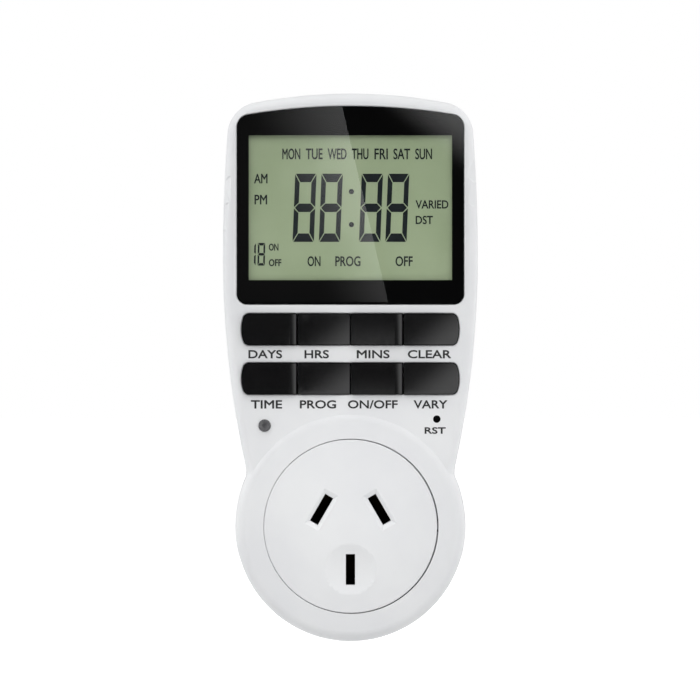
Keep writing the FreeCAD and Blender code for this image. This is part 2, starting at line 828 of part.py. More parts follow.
def key(row, column):
    x0, x1, z0, z1 = key_column(row, column)
    bowed = column % 2
    start = key_front_y - key_proud if bowed else key_front_y
    body = prism(key_row_outline(0, key_row_heights[row]), start, key_flange_y + key_flange_thickness)
    body = body.common(box(x0, x1, start, control_front_y, z0, z1))
    middle = (key_centres[column], key_row_heights[row])
    if bowed:
        body = body.common(Part.makeSphere(key_bow_radius, v(x0, key_front_y + key_bow_radius, middle[1])))
    else:
        right = edges_at(body, key_front_y, lambda edge: edge.BoundBox.XMin > x1 - key_fit)
        body = body.makeFillet(key_ridge_round, right)
    reach = key_flange_reach
    flange_end = key_flange_y + key_flange_thickness
    edge0 = max(x0, key_fit - mat_half_width)
    edge1 = min(x1, mat_half_width - key_fit)
    flange = box(edge0, edge1, key_flange_y, flange_end, z0 - reach, z1 + reach)
    stem = disc(middle, key_stem_radius, key_flange_y, key_stem_end_y)
    return fuse(body, flange, stem)


def keypad_mat():
    low = key_row_heights["lower"] - key_row_height / 2 - mat_margin
    high = key_row_heights["upper"] + key_row_height / 2 + mat_margin
    mat = box(-mat_half_width, mat_half_width, mat_front_y, control_front_y, low, high)
    domes, hollows = [], []
    for place in key_places.values():
        domes.append(cone(place, dome_top_radius, dome_base_radius, key_stem_end_y, mat_front_y))
        inner_top, inner_base = dome_top_radius - dome_wall, dome_base_radius - dome_wall
        hollows.append(cone(place, inner_top, inner_base, key_stem_end_y + 2 * dome_wall, control_front_y))
    return cut(fuse(mat, *domes), *hollows)


def indicator_lamp():
    tip_y = panel_y - lamp_proud
    flange_y = panel_inner_y
    barrel = disc(lamp_place, lamp_radius, tip_y, flange_y)
    barrel = barrel.makeFillet(lamp_tip_round, edges_at(barrel, tip_y))
    flange = disc(lamp_place, lamp_radius + lamp_flange, flange_y, tip_y + lamp_length)
    return fuse(barrel, flange)


def lamp_leads():
    """Two wires from the lamp into the control board."""
    x, z = lamp_place
    half = lead_size / 2
    leads = []
    for side in (-lead_pitch / 2, lead_pitch / 2):
        start = panel_y - lamp_proud + lamp_length
        leads.append(box(x + side - half, x + side + half, start, control_front_y, z - half, z + half))
    return Part.Compound(leads)


reset_case_front = control_front_y - reset_case_height


def reset_switch():
    x, z = reset_place
    half = reset_case_side / 2
    case = box(x - half, x + half, reset_case_front, control_front_y, z - half, z + half)
    inner = half - reset_case_wall
    well_floor = control_front_y - reset_case_wall
    well = box(x - inner, x + inner, reset_case_front + reset_case_wall, well_floor, z - inner, z + inner)
    hole = disc(reset_place, reset_stem_radius + reset_case_wall / 2, reset_case_front, well_floor)
    return cut(case, well, hole)


def reset_button():
    collar_y = panel_inner_y + reset_collar
    tip = disc(reset_place, reset_pin_radius, panel_y + reset_recess, collar_y)
    tip = tip.makeFillet(reset_tip_round, edges_at(tip, panel_y + reset_recess))
    stem_end = control_front_y - reset_case_wall - reset_travel - stack_gap
    stem = disc(reset_place, reset_stem_radius, collar_y, stem_end)
    foot_y = reset_case_front + reset_case_wall + stack_gap
    foot = disc(reset_place, reset_case_side / 2 - reset_case_wall - stack_gap, foot_y, stem_end)
    return fuse(tip, stem, foot)


def board(inset, z0, z1, y0, screws):
    """A circuit board that follows the case's outline."""
    plate = prism(outline(inset), y0, y0 + board_thickness)
    plate = plate.common(box(-half_width, half_width, y0, y0 + board_thickness, z0, z1))
    return cut(plate, *[screw_hole(p, y0, y0 + board_thickness) for p in screws])


def control_board():
    inset = wall + front_draft + board_edge_gap
    return board(inset, control_bottom, control_top, control_front_y, control_screw_places)


def power_board():
    inset = wall + back_draft + board_edge_gap
    return board(inset, power_bottom, power_top, power_front_y, power_screw_places)


def standing(place, size, y0, side=-1):
    """A block standing on a board's face at y0: its size along X, along Z, and its height off the board."""
    x, z = place
    y1 = y0 + side * size[2]
    return box(x - size[0] / 2, x + size[0] / 2, min(y0, y1), max(y0, y1), z - size[1] / 2, z + size[1] / 2)


def control_chip():
    chip = standing(chip_place, chip_size, control_back_y, 1)
    return chip.makeChamfer(chip_bevel, edges_at(chip, control_back_y + chip_size[2]))


def clock_crystal():
    x, z = crystal_place
    y = control_back_y + crystal_radius + seat_gap
    return Part.makeCylinder(crystal_radius, crystal_length, v(x, y, z - crystal_length / 2))


def backup_battery():
    start = control_back_y + battery_tab_thickness
    cell = disc(battery_place, battery_radius, start, start + battery_height)
    return cell.makeFillet(battery_edge_round, edges_at(cell, start + battery_height))


def battery_tabs():
    """The welded strips under and over the cell, with their feet on the board."""
    x, z = battery_place
    t, half = battery_tab_thickness, battery_tab_width / 2
    reach = battery_radius + 2 * t
    top = control_back_y + t + battery_height
    foot = reach + battery_tab_width
    under = box(x - foot, x + half, control_back_y, control_back_y + t, z - half, z + half)
    over = fuse(
        box(x - half, x + reach + t, top, top + t, z - half, z + half),
        box(x + reach, x + reach + t, control_back_y, top + t, z - half, z + half),
        box(x + reach, x + foot, control_back_y, control_back_y + t, z - half, z + half),
    )
    return Part.Compound([under, over])


relay_floor_y = power_front_y - relay_base_thickness


def relay_base():
    size = [relay_size[i] - 2 * relay_wall - 2 * relay_fit for i in (0, 1)]
    return standing(relay_place, (*size, relay_base_thickness), power_front_y)


def relay_cover():
    shell = standing(relay_place, relay_size, power_front_y)
    inner = [s - 2 * relay_wall for s in relay_size[:2]]
    shell = shell.makeFillet(relay_edge_round, edges_at(shell, power_front_y - relay_size[2]))
    return cut(shell, standing(relay_place, (*inner, relay_size[2] - relay_wall), power_front_y))


def coil_place():
    return (relay_place[0] + coil_offset, relay_place[1])


core_face_y = power_front_y - core_top


def relay_coil():
    place = coil_place()
    start, end = relay_floor_y - iron_thickness, core_face_y + armature_gap
    thick = coil_flange_thickness
    winding = disc(place, coil_radius, end, start)
    rims = [disc(place, coil_flange_radius, y, y + thick) for y in (end, start - thick)]
    return cut(fuse(winding, *rims), disc(place, core_radius + stack_gap / 2, end, start))


def relay_yoke():
    x, z = relay_place
    half = iron_width / 2
    outer = x + yoke_offset
    foot_start = coil_place()[0] - coil_radius
    foot = box(foot_start, outer, relay_floor_y - iron_thickness, relay_floor_y, z - half, z + half)
    leg_end = core_face_y - armature_gap + armature_clearance
    leg = box(outer - iron_thickness, outer, leg_end, relay_floor_y, z - half, z + half)
    return fuse(foot, leg, disc(coil_place(), core_radius, core_face_y, relay_floor_y))


def relay_armature():
    x, z = relay_place
    outer, back = x + yoke_offset, core_face_y - armature_gap
    half = iron_width / 2
    plate = box(outer - armature_length, outer, back - armature_thickness, back, z - half, z + half)
    return plate.makeFillet(armature_edge_round, edges_at(plate, back - armature_thickness))


def relay_contact():
    """The fixed contact that the armature's end closes on."""
    x, z = relay_place
    outer = x + yoke_offset - armature_length
    top = core_face_y - armature_gap + relay_contact_gap
    half = relay_post_width / 2
    return box(outer, outer + relay_post_thickness, top, relay_floor_y, z - half, z + half)


def film_capacitor():
    block = standing(film_capacitor_place, film_capacitor_size, power_front_y)
    top_y = power_front_y - film_capacitor_size[2]
    return block.makeFillet(film_capacitor_edge_round, edges_at(block, top_y))


def can_capacitor():
    can = disc(can_place, can_radius, power_front_y - can_height, power_front_y)
    return can.makeFillet(can_edge_round, edges_at(can, power_front_y - can_height))


def lying(place, radius, length):
    """A round part lying along X just above the power board."""
    start = v(place[0] - length / 2, power_front_y - radius - seat_gap, place[1])
    return Part.makeCylinder(radius, length, start, v(1, 0, 0))


def surge_disc():
    x, z = varistor_place
    y = power_front_y - varistor_radius - seat_gap
    puck = Part.makeCylinder(varistor_radius, varistor_thickness, v(x, y, z - varistor_thickness / 2))
    return puck.makeFillet(varistor_edge_round, puck.Edges)


def fuse_resistor():
    return lying(resistor_place, resistor_radius, resistor_length)


def rectifier_diodes():
    return Part.Compound([lying(p, diode_radius, diode_length) for p in diode_places])


def relay_transistor():
    body = disc(transistor_place, transistor_radius, power_front_y - transistor_height, power_front_y)
    x, z = transistor_place
    flat = z - transistor_radius / 2
    return cut(body, box(x - half_width, x + half_width, -body_depth, 0, z - half_width, flat))


def tangent_path(points, bend):
    """Straight runs between the points, joined by arcs of one radius."""
    points = [v(*p) for p in points]
    edges, last = [], points[0]
    for before, corner, after in zip(points, points[1:], points[2:]):
        into, out = (before - corner).normalize(), (after - corner).normalize()
        half = into.getAngle(out) / 2
        setback = bend / math.tan(half)
        start, end = corner + into * setback, corner + out * setback
        middle = corner + (into + out).normalize() * (bend / math.sin(half) - bend)
        edges += [Part.makeLine(last, start), Part.Arc(start, middle, end).toShape()]
        last = end
    edges.append(Part.makeLine(last, points[-1]))
    return Part.Wire(edges)


def tube(points, radius, bend):
    path = tangent_path(points, bend)
    direction = v(*points[1]) - v(*points[0])
    section = Part.Wire([Part.makeCircle(radius, v(*points[0]), direction)])
    return path.makePipeShell([section], True, False)


def ribbon_cable():
    """A flat cable that bows upwards between the two boards."""
    half_x, half_z = ribbon_width / 2, ribbon_thickness / 2
    start, end, z = control_back_y, power_front_y, ribbon_place
    middle = (start + end) / 2
    quarter = (end - start) / 4
    points = [
        (0, start, z),
        (0, middle - quarter, z),
        (0, middle, z + ribbon_bulge),
        (0, middle + quarter, z),
        (0, end, z),
    ]
    corners = [(-half_x, z - half_z), (half_x, z - half_z), (half_x, z + half_z), (-half_x, z + half_z)]
    section = Part.makePolygon([v(x, start, h) for x, h in [*corners, corners[0]]])
    return tangent_path(points, ribbon_bend).makePipeShell([section], True, False)


def slot_lead(name):
    """The bevel around a slot, from the front face to the slot's own size."""
    wires = []
    for grow, y in ((1, face_y), (0, face_y + slot_lead_depth)):
        x = (blade_thickness + slot_clearance_short) / 2 + grow * slot_lead_side
        z = (blade_width + slot_clearance_long) / 2 + grow * slot_lead_end
        corners = [v(-x, y, -z), v(x, y, -z), v(x, y, z), v(-x, y, z), v(-x, y, -z)]
        wires.append(at_blade(Part.makePolygon(corners), name))
    return Part.makeLoft(wires, True, True)


def flange_notches():
    bosses = [(p, case_boss_radius) for p in case_screw_places]
    bosses += [(p, boss_radius) for p in base_screw_places]
    return [disc(p, r + flange_notch_play, flange_front_y, flange_back_y) for p, r in bosses]


def socket_face():
    plate = disc((0, 0), insert_radius, face_y, flange_front_y)
    plate = plate.makeFillet(insert_edge_round, edges_at(plate, face_y))
    flange = disc((0, 0), insert_hole_reach + flange_overhang, flange_front_y, flange_back_y)
    plate = fuse(plate, cut(flange, *flange_notches()))
    sphere_radius = (dish_radius**2 + dish_depth**2) / (2 * dish_depth)
    dish_y = face_y + dish_depth - sphere_radius
    cuts = [Part.makeSphere(sphere_radius, v(earth_place[0], dish_y, earth_place[1]))]
    for name in blades:
        slot = (blade_thickness + slot_clearance_short, blade_width + slot_clearance_long)
        cuts.append(blade_box(name, *slot, face_y, flange_back_y))
        if name != "earth":
            cuts.append(slot_lead(name))
    return cut(plate, *cuts)


def socket_base():
    """An open tub with a walled chamber for each contact, and two ears for its screws."""
    tub = disc((0, 0), base_radius, flange_back_y, base_back_y)
    tub = cut(tub, disc((0, 0), base_radius - base_wall, flange_back_y, base_back_y - base_floor))
    ears = []
    for x, z in base_screw_places:
        side = math.copysign(1, x)
        inner, outer = side * (base_radius - base_wall / 2), x + side * boss_radius
        x0, x1 = min(inner, outer), max(inner, outer)
        ears.append(box(x0, x1, control_front_y, control_back_y, z - ear_width / 2, z + ear_width / 2))
    width, length = chamber_width + 2 * chamber_wall, chamber_length + 2 * chamber_wall
    towers = [blade_box(name, width, length, flange_back_y, base_back_y) for name in blades]
    solid = fuse(tub, *ears, *towers)
    floor_y = base_back_y - base_floor
    tail = (contact_sheet + 2 * tail_fit, tail_width + 2 * tail_fit)
    cuts = [screw_hole(p, control_front_y, control_back_y) for p in base_screw_places]
    for name in blades:
        cuts.append(blade_box(name, chamber_width, chamber_length, flange_back_y, floor_y))
        cuts.append(blade_box(name, *tail, floor_y, base_back_y))
    return cut(solid, *cuts)


tail_end_y = base_back_y + tail_length


def contact(name):
    """Two spring leaves that pinch a blade, joined at the root, with a tail through the socket base."""
    front = flange_back_y + contact_inset
    throat = front + contact_throat_depth
    root = base_back_y - base_floor
    t = contact_sheet
    inner = [(contact_mouth / 2, front), (contact_throat / 2, throat), (contact_root / 2, root - t)]
    outer = [(contact_root / 2 + t, root), (contact_throat / 2 + t, throat), (contact_mouth / 2 + t, front)]
    right = [*outer, *inner]
    loop = [*right, *[(-x, y) for x, y in reversed(right)]]
    corners = [v(x, y, -contact_length / 2) for x, y in [*loop, loop[0]]]
    leaves = Part.Face(Part.makePolygon(corners)).extrude(v(0, 0, contact_length))
    tail = box(-t / 2, t / 2, root - t, tail_end_y, -tail_width / 2, tail_width / 2)
    return at_blade(fuse(leaves, tail), name)


def link(name):
    """The strip that joins a contact's tail to the pin's head behind it."""
    outer = -contact_sheet / 2
    half = tail_width / 2
    strip = box(outer - link_thickness, outer, base_back_y + wire_gap, head_front_y, -half, half)
    foot = box(outer - link_foot, outer, head_front_y - link_thickness, head_front_y, -half, half)
    return at_blade(fuse(strip, foot), name)


def pin_carrier():
    plate = disc((0, 0), base_radius, carrier_front_y, -plug_wall)
    cuts = [pin_hole(name, carrier_front_y, -plug_wall) for name in blades]
    for place in carrier_screw_places:
        cuts.append(disc(place, screw_head_radius + counterbore_clearance, carrier_front_y, carrier_seat_y))
        cuts.append(screw_hole(place, carrier_seat_y, -plug_wall))
    return cut(plate, *cuts)


def blade(name, length):
    """One flat pin with a bevelled tip, its head in front of the carrier."""
    x, z = blade_thickness / 2, blade_width / 2
    tip = pin_tip
    body = box(-x, x, carrier_front_y, length, -z, z)
    bevel = body.makeChamfer(tip, [e for e in edges_at(body, length) if e.Length > blade_thickness * 2])
    x, z = pin_head_width / 2, pin_head_length / 2
    head = box(-x, x, head_front_y, carrier_front_y, -z, z)
    return fuse(bevel, head)


def neck(grow):
    """The thinned stretch of a live or neutral blade that its sleeve fills."""
    x, z = blade_thickness / 2, blade_width / 2
    inner = box(grow - x, x - grow, -plug_wall, sleeve_length, grow - z, z - grow)
    return cut(box(-x, x, -plug_wall, sleeve_length, -z, z), inner)


def side_bar(name):
    """The bar that runs sideways from a pin's head to its wire."""
    x, z = blades[name][0]
    side = math.copysign(1, x)
    half = pin_head_width / 2
    end = x + side * pin_bar_reach
    return box(min(x, end), max(x, end), head_front_y, carrier_front_y, z - half, z + half)


def live_pin(name):
    pin = cut(blade(name, live_pin_length), neck(sleeve_skin))
    return fuse(at_blade(pin, name), side_bar(name))


def earth_pin():
    return at_blade(blade("earth", earth_pin_length), "earth")


def pin_sleeves():
    return Part.Compound([at_blade(neck(sleeve_skin), name) for name in ("live", "neutral")])


wire_run_y = base_back_y + wire_gap + wire_radius


def feed_wire(name):
    """From the bar of a pin's head forward, up past the socket and back onto the power board."""
    x, z = blades[name][0]
    x += math.copysign(wire_reach, x)
    points = [
        (x, head_front_y, z),
        (x, wire_run_y, z),
        (x, wire_run_y, wire_pad_height),
        (x, power_front_y, wire_pad_height),
    ]
    return tube(points, wire_radius, wire_bend)


def load_wire():
    """From the live contact's tail up to the power board."""
    lean = math.radians(pin_angle)
    half, t = tail_width / 2, contact_sheet / 2
    x = live_place[0] + half * math.sin(lean) - t * math.cos(lean)
    z = live_place[1] + half * math.cos(lean) + t * math.sin(lean) + stack_gap
    points = [(x, wire_run_y, z), (x, wire_run_y, wire_pad_height), (x, power_front_y, wire_pad_height)]
    return tube(points, wire_radius, wire_bend)


pieces = {
    "front_housing": front_housing,
    "rear_housing": rear_housing,
    "case_screws": case_screws,
    "board_screws": board_screws,
    "display_window": display_window,
    "window_mask": window_mask,
    "lcd_cell": lcd_cell,
    "lcd_frame": lcd_frame,
    "contact_strips": contact_strips,
    "keypad_mat": keypad_mat,
    "indicator_lamp": indicator_lamp,
    "lamp_leads": lamp_leads,
    "reset_switch": reset_switch,
    "reset_button": reset_button,
    "control_board": control_board,
    "control_chip": control_chip,
    "clock_crystal": clock_crystal,
    "backup_battery": backup_battery,
    "battery_tabs": battery_tabs,
    "power_board": power_board,
    "relay_base": relay_base,
    "relay_cover": relay_cover,
    "relay_coil": relay_coil,
    "relay_yoke": relay_yoke,
    "relay_armature": relay_armature,
    "relay_contact": relay_contact,
    "film_capacitor": film_capacitor,
    "can_capacitor": can_capacitor,
    "surge_disc": surge_disc,
    "fuse_resistor": fuse_resistor,
    "rectifier_diodes": rectifier_diodes,
    "relay_transistor": relay_transistor,
    "ribbon_cable": ribbon_cable,
    "socket_face": socket_face,
    "socket_base": socket_base,
    "live_contact": lambda: contact("live"),
    "neutral_contact": lambda: contact("neutral"),
    "earth_contact": lambda: contact("earth"),
    "neutral_link": lambda: link("neutral"),
    "earth_link": lambda: link("earth"),
    "pin_carrier": pin_carrier,
    "live_pin": lambda: live_pin("live"),
    "neutral_pin": lambda: live_pin("neutral"),
    "earth_pin": earth_pin,
    "pin_sleeves": pin_sleeves,
    "live_wire": lambda: feed_wire("live"),
    "neutral_wire": lambda: feed_wire("neutral"),
    "load_wire": load_wire,
}
for row, names in key_names.items():
    for column, name in enumerate(names):
        pieces[name] = lambda row=row, column=column: key(row, column)

for name, make in pieces.items():
    shape = make()
    shape.exportStep(f"parts/{name}.step")
    print(name, len(shape.Solids), shape.isValid(), round(shape.Volume, 2))
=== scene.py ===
import math
import json
import bpy
import bmesh
from mathutils import Matrix, Vector


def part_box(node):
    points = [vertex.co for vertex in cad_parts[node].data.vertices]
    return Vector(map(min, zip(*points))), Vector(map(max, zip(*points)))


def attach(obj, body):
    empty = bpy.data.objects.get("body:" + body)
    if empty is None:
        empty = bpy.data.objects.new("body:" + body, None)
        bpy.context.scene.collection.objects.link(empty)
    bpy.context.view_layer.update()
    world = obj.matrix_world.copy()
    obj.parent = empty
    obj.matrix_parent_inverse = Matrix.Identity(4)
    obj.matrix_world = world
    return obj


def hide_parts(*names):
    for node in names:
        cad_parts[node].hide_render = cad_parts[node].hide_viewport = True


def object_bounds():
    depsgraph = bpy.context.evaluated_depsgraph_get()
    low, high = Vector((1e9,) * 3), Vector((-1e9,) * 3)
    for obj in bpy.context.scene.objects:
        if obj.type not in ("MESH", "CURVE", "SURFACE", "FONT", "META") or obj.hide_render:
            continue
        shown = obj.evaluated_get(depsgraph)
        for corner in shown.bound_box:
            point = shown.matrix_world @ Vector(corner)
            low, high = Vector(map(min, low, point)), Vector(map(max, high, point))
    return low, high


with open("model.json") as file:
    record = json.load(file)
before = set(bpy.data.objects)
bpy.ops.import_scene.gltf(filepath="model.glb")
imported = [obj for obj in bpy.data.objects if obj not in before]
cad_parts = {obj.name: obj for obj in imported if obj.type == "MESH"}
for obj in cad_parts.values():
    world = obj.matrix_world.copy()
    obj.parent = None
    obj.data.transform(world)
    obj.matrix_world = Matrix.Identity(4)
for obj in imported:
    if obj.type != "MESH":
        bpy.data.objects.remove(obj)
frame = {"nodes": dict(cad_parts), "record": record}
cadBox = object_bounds()
nodes = frame["nodes"]
mm = 0.001
print("frame:", len(nodes), "nodes")


def linear(hexColour):
    channels = [int(hexColour[i:i + 2], 16) / 255 for i in (1, 3, 5)]
    return [c / 12.92 if c <= 0.04045 else ((c + 0.055) / 1.055) ** 2.4 for c in channels] + [1.0]


def addNode(tree, kind, links=None, **settings):
    # settings: attributes by name, or socket values where the name is a socket's; links: {socket: output}
    node = tree.nodes.new(kind)
    for name, value in settings.items():
        if hasattr(node, name):
            setattr(node, name, value)
        else:
            node.inputs[name.replace("_", " ")].default_value = value
    for socket, output in (links or {}).items():
        tree.links.new(output, node.inputs[socket])
    return node


def newMaterial(name):
    material = bpy.data.materials.new(name)
    material.use_nodes = True
    material.node_tree.nodes.clear()
    return material, material.node_tree


def showShader(tree, shader):
    out = addNode(tree, "ShaderNodeOutputMaterial")
    tree.links.new(shader, out.inputs["Surface"])


# The part of a noise's range that the colour drift and the roughness drift take up
noiseRange = {"driftFrom": 0.35, "driftTo": 0.65, "grainFrom": 0.3, "grainTo": 0.7}

# Finishes. grain is the size of the surface's texture and patch the size of its colour drift, in millimetres
finishes = {
    # matt-textured ABS off a spark-eroded mould: pale, satin, with a fine even grain
    "absPaleGrey": dict(
        colour="#DDDEDF", drift="#D8D9DB", patch=18.0, rough=0.42, roughDrift=0.05,
        grain=0.28, bump=0.012, ior=1.53,
    ),
    # polished ABS, dyed black: deep and glossy, with faint handling marks
    "absGlossBlack": dict(
        colour="#0C0C0D", drift="#101011", patch=4.0, rough=0.09, roughDrift=0.02,
        grain=0.9, bump=0.0006, ior=1.53,
    ),
    # screen-printed ink on the back of the window: flat black with a slight orange peel
    "printedBlackFilm": dict(
        colour="#050506", drift="#070708", patch=6.0, rough=0.5, roughDrift=0.05,
        grain=0.4, bump=0.004, ior=1.5, specular=0.1,
    ),
    # screen-printed legend ink: black, a little glossier than the case
    "legendInk": dict(
        colour="#161617", drift="#1C1C1E", patch=0.8, rough=0.4, roughDrift=0.06,
        grain=0.15, bump=0.006, ior=1.5,
    ),
    # reflective liquid crystal cell behind its polariser: sage green, with a fine silvery grain
    "lcdReflector": dict(
        colour="#96A385", drift="#8F9D7E", patch=14.0, rough=0.45, roughDrift=0.05,
        grain=0.22, bump=0.004, ior=1.5, specular=0.1,
    ),
    # switched-on liquid crystal: bluish black, as flat as the glass
    "lcdSegment": dict(
        colour="#15191D", drift="#181D21", patch=3.0, rough=0.4, roughDrift=0.04,
        grain=0.2, bump=0.002, ior=1.5, specular=0.1,
    ),
    # smoked epoxy of the lamp: dark grey, polished by its mould
    "smokedEpoxy": dict(
        colour="#4C4C4E", drift="#3E3E41", patch=0.9, rough=0.14, roughDrift=0.05,
        grain=0.5, bump=0.003, ior=1.55,
    ),
    # phenolic of the contact carrier: near black and dull, kept this dark so that the slots show black:
    # partly its own colour, partly painted shade
    "phenolicBlack": dict(
        colour="#0D0D0D", drift="#131313", patch=3.0, rough=0.6, roughDrift=0.08,
        grain=0.3, bump=0.01, ior=1.5,
    ),
    # nickel-plated brass of the pins: warm silver, with lengthwise polishing marks
    "nickelPlate": dict(
        colour="#C8C3B8", drift="#BEB9AE", patch=6.0, rough=0.24, roughDrift=0.08,
        grain=0.12, bump=0.004, metal=1.0,
    ),
    # zinc-plated steel: bluish silver, slightly cloudy
    "zincPlate": dict(
        colour="#B9BDC2", drift="#A3A7AB", patch=0.9, rough=0.34, roughDrift=0.1,
        grain=0.2, bump=0.006, metal=1.0,
    ),
    # polyamide pin sleeve: black, matt
    "polyamideBlack": dict(
        colour="#151516", drift="#1B1B1C", patch=2.0, rough=0.5, roughDrift=0.06,
        grain=0.25, bump=0.008, ior=1.53,
    ),
    # polyamide of the reset button, matt, darkened to near black with almost no gloss: painted shade of its
    # pinhole
    "polyamideDull": dict(
        colour="#060607", drift="#09090A", patch=2.0, rough=0.75, roughDrift=0.06,
        grain=0.25, bump=0.01, ior=1.53, specular=0.08,
    ),
    # stamped brass of the contacts: yellow, drawn along the strip
    "stampedBrass": dict(
        colour="#C9A659", drift="#B08D45", patch=1.5, rough=0.3, roughDrift=0.08,
        grain=0.15, bump=0.004, metal=1.0,
    ),
    # brass deep in the slots, darkened to a dull brown as painted shade of the deep narrow slots
    "tarnishedBrass": dict(
        colour="#3A2E1C", drift="#2C2316", patch=1.5, rough=0.5, roughDrift=0.08,
        grain=0.15, bump=0.006, metal=1.0,
    ),
    # enamelled copper winding: reddish, in fine turns
    "enamelledCopper": dict(
        colour="#B06A35", drift="#96552A", patch=0.4, rough=0.3, roughDrift=0.08,
        grain=0.14, bump=0.02, metal=1.0,
    ),
    # solder resist over glass-epoxy board: green and glossy, with the copper's tone under it
    "solderResist": dict(
        colour="#1F5C38", drift="#2B7047", patch=2.2, rough=0.3, roughDrift=0.06,
        grain=0.4, bump=0.01, ior=1.5,
    ),
    # moulded silicone: translucent grey, dull
    "siliconeGrey": dict(
        colour="#9A9EA0", drift="#8E9294", patch=4.0, rough=0.6, roughDrift=0.05,
        grain=0.5, bump=0.006, ior=1.41,
    ),
    # layered conductive rubber: pink and black in thin layers
    "layeredRubber": dict(
        colour="#C07A86", drift="#2A2426", patch=0.3, rough=0.6, roughDrift=0.05,
        grain=0.3, bump=0.01, ior=1.41,
    ),
    # polypropylene frame: milky white
    "milkyPolypropylene": dict(
        colour="#D8D7D1", drift="#CECDC6", patch=3.0, rough=0.45, roughDrift=0.05,
        grain=0.4, bump=0.008, ior=1.49,
    ),
    # glass-filled polyester of the relay: navy blue
    "polyesterBlue": dict(
        colour="#25406B", drift="#1E355A", patch=3.0, rough=0.35, roughDrift=0.05,
        grain=0.4, bump=0.008, ior=1.55,
    ),
    # transfer-moulded epoxy of chips and diodes: charcoal
    "mouldedEpoxy": dict(
        colour="#232325", drift="#2B2B2D", patch=1.2, rough=0.45, roughDrift=0.08,
        grain=0.3, bump=0.01, ior=1.55,
    ),
    # polyester dip of the film capacitor: mustard yellow, slightly uneven
    "dippedYellow": dict(
        colour="#C9A733", drift="#BC9928", patch=3.0, rough=0.35, roughDrift=0.06,
        grain=0.8, bump=0.015, ior=1.5,
    ),
    # shrink sleeve on the can: dark blue, taut
    "shrinkSleeve": dict(
        colour="#1C2140", drift="#242A4E", patch=2.0, rough=0.28, roughDrift=0.06,
        grain=0.6, bump=0.006, ior=1.5,
    ),
    # dipped ceramic disc: sky blue with a rounded, uneven coat
    "dippedBlue": dict(
        colour="#2C5E9E", drift="#25528C", patch=2.0, rough=0.3, roughDrift=0.06,
        grain=1.0, bump=0.02, ior=1.5,
    ),
    # soft vinyl insulation: brown on the live side
    "vinylBrown": dict(
        colour="#6A3F25", drift="#5E371F", patch=2.0, rough=0.4, roughDrift=0.05,
        grain=0.6, bump=0.006, ior=1.52,
    ),
    # soft vinyl insulation: light blue on the neutral side
    "vinylBlue": dict(
        colour="#3C7DB8", drift="#3572AA", patch=2.0, rough=0.4, roughDrift=0.05,
        grain=0.6, bump=0.006, ior=1.52,
    ),
}


def finish(name):
    s = finishes[name]
    material, tree = newMaterial(name)
    spot = addNode(tree, "ShaderNodeTexCoord").outputs["Object"]
    patch = addNode(tree, "ShaderNodeTexNoise", {"Vector": spot}, Scale=1 / (s["patch"] * mm), Detail=3.0)
    grain = addNode(tree, "ShaderNodeTexNoise", {"Vector": spot}, Scale=1 / (s["grain"] * mm), Detail=2.0)
    colour = addNode(tree, "ShaderNodeValToRGB", {"Fac": patch.outputs["Fac"]})
    drift = (("driftFrom", "colour"), ("driftTo", "drift"))
    for stop, (position, shade) in zip(colour.color_ramp.elements, drift):
        stop.position = noiseRange[position]
        stop.color = linear(s[shade])
    rough = addNode(
        tree, "ShaderNodeMapRange", {"Value": grain.outputs["Fac"]},
        From_Min=noiseRange["grainFrom"], From_Max=noiseRange["grainTo"],
        To_Min=s["rough"] - s["roughDrift"], To_Max=s["rough"] + s["roughDrift"],
    )
    bump = addNode(tree, "ShaderNodeBump", {"Height": grain.outputs["Fac"]}, Distance=s["bump"] * mm)
    shader = addNode(
        tree, "ShaderNodeBsdfPrincipled",
        {
            "Base Color": colour.outputs["Color"], "Roughness": rough.outputs["Result"],
            "Normal": bump.outputs["Normal"],
        },
        Metallic=s.get("metal", 0.0),
    )
    for key, socket in (("ior", "IOR"), ("specular", "Specular IOR Level")):
        if key in s:
            shader.inputs[socket].default_value = s[key]
    showShader(tree, shader.outputs["BSDF"])
    return material


# cast clear acrylic, polished: bright sharp reflections, and lamps reach what lies under it
acrylic = {
    "haze": 9.0,  # millimetres: the size of its faint cloudy patches
    "roughFrom": 0.004, "roughTo": 0.012, "ior": 1.49, "shadowTint": (0.94, 0.95, 0.95, 1),
}


def clearAcrylic():
    material, tree = newMaterial("clearAcrylic")
    spot = addNode(tree, "ShaderNodeTexCoord").outputs["Object"]
    haze = addNode(tree, "ShaderNodeTexNoise", {"Vector": spot}, Scale=1 / (acrylic["haze"] * mm), Detail=2.0)
    rough = addNode(
        tree, "ShaderNodeMapRange", {"Value": haze.outputs["Fac"]},
        From_Min=noiseRange["grainFrom"], From_Max=noiseRange["grainTo"],
        To_Min=acrylic["roughFrom"], To_Max=acrylic["roughTo"],
    )
    glass = addNode(
        tree, "ShaderNodeBsdfPrincipled", {"Roughness": rough.outputs["Result"]},
        Base_Color=(1, 1, 1, 1), IOR=acrylic["ior"], Transmission_Weight=1.0,
    )
    passed = addNode(tree, "ShaderNodeBsdfTransparent", Color=acrylic["shadowTint"])
    shadowRay = addNode(tree, "ShaderNodeLightPath").outputs["Is Shadow Ray"]
    both = addNode(tree, "ShaderNodeMixShader", {"Fac": shadowRay})
    tree.links.new(glass.outputs["BSDF"], both.inputs[1])
    tree.links.new(passed.outputs["BSDF"], both.inputs[2])
    showShader(tree, both.outputs["Shader"])
    return material


materials = {name: finish(name) for name in finishes}
materials["clearAcrylic"] = clearAcrylic()
print("materials:", len(materials))

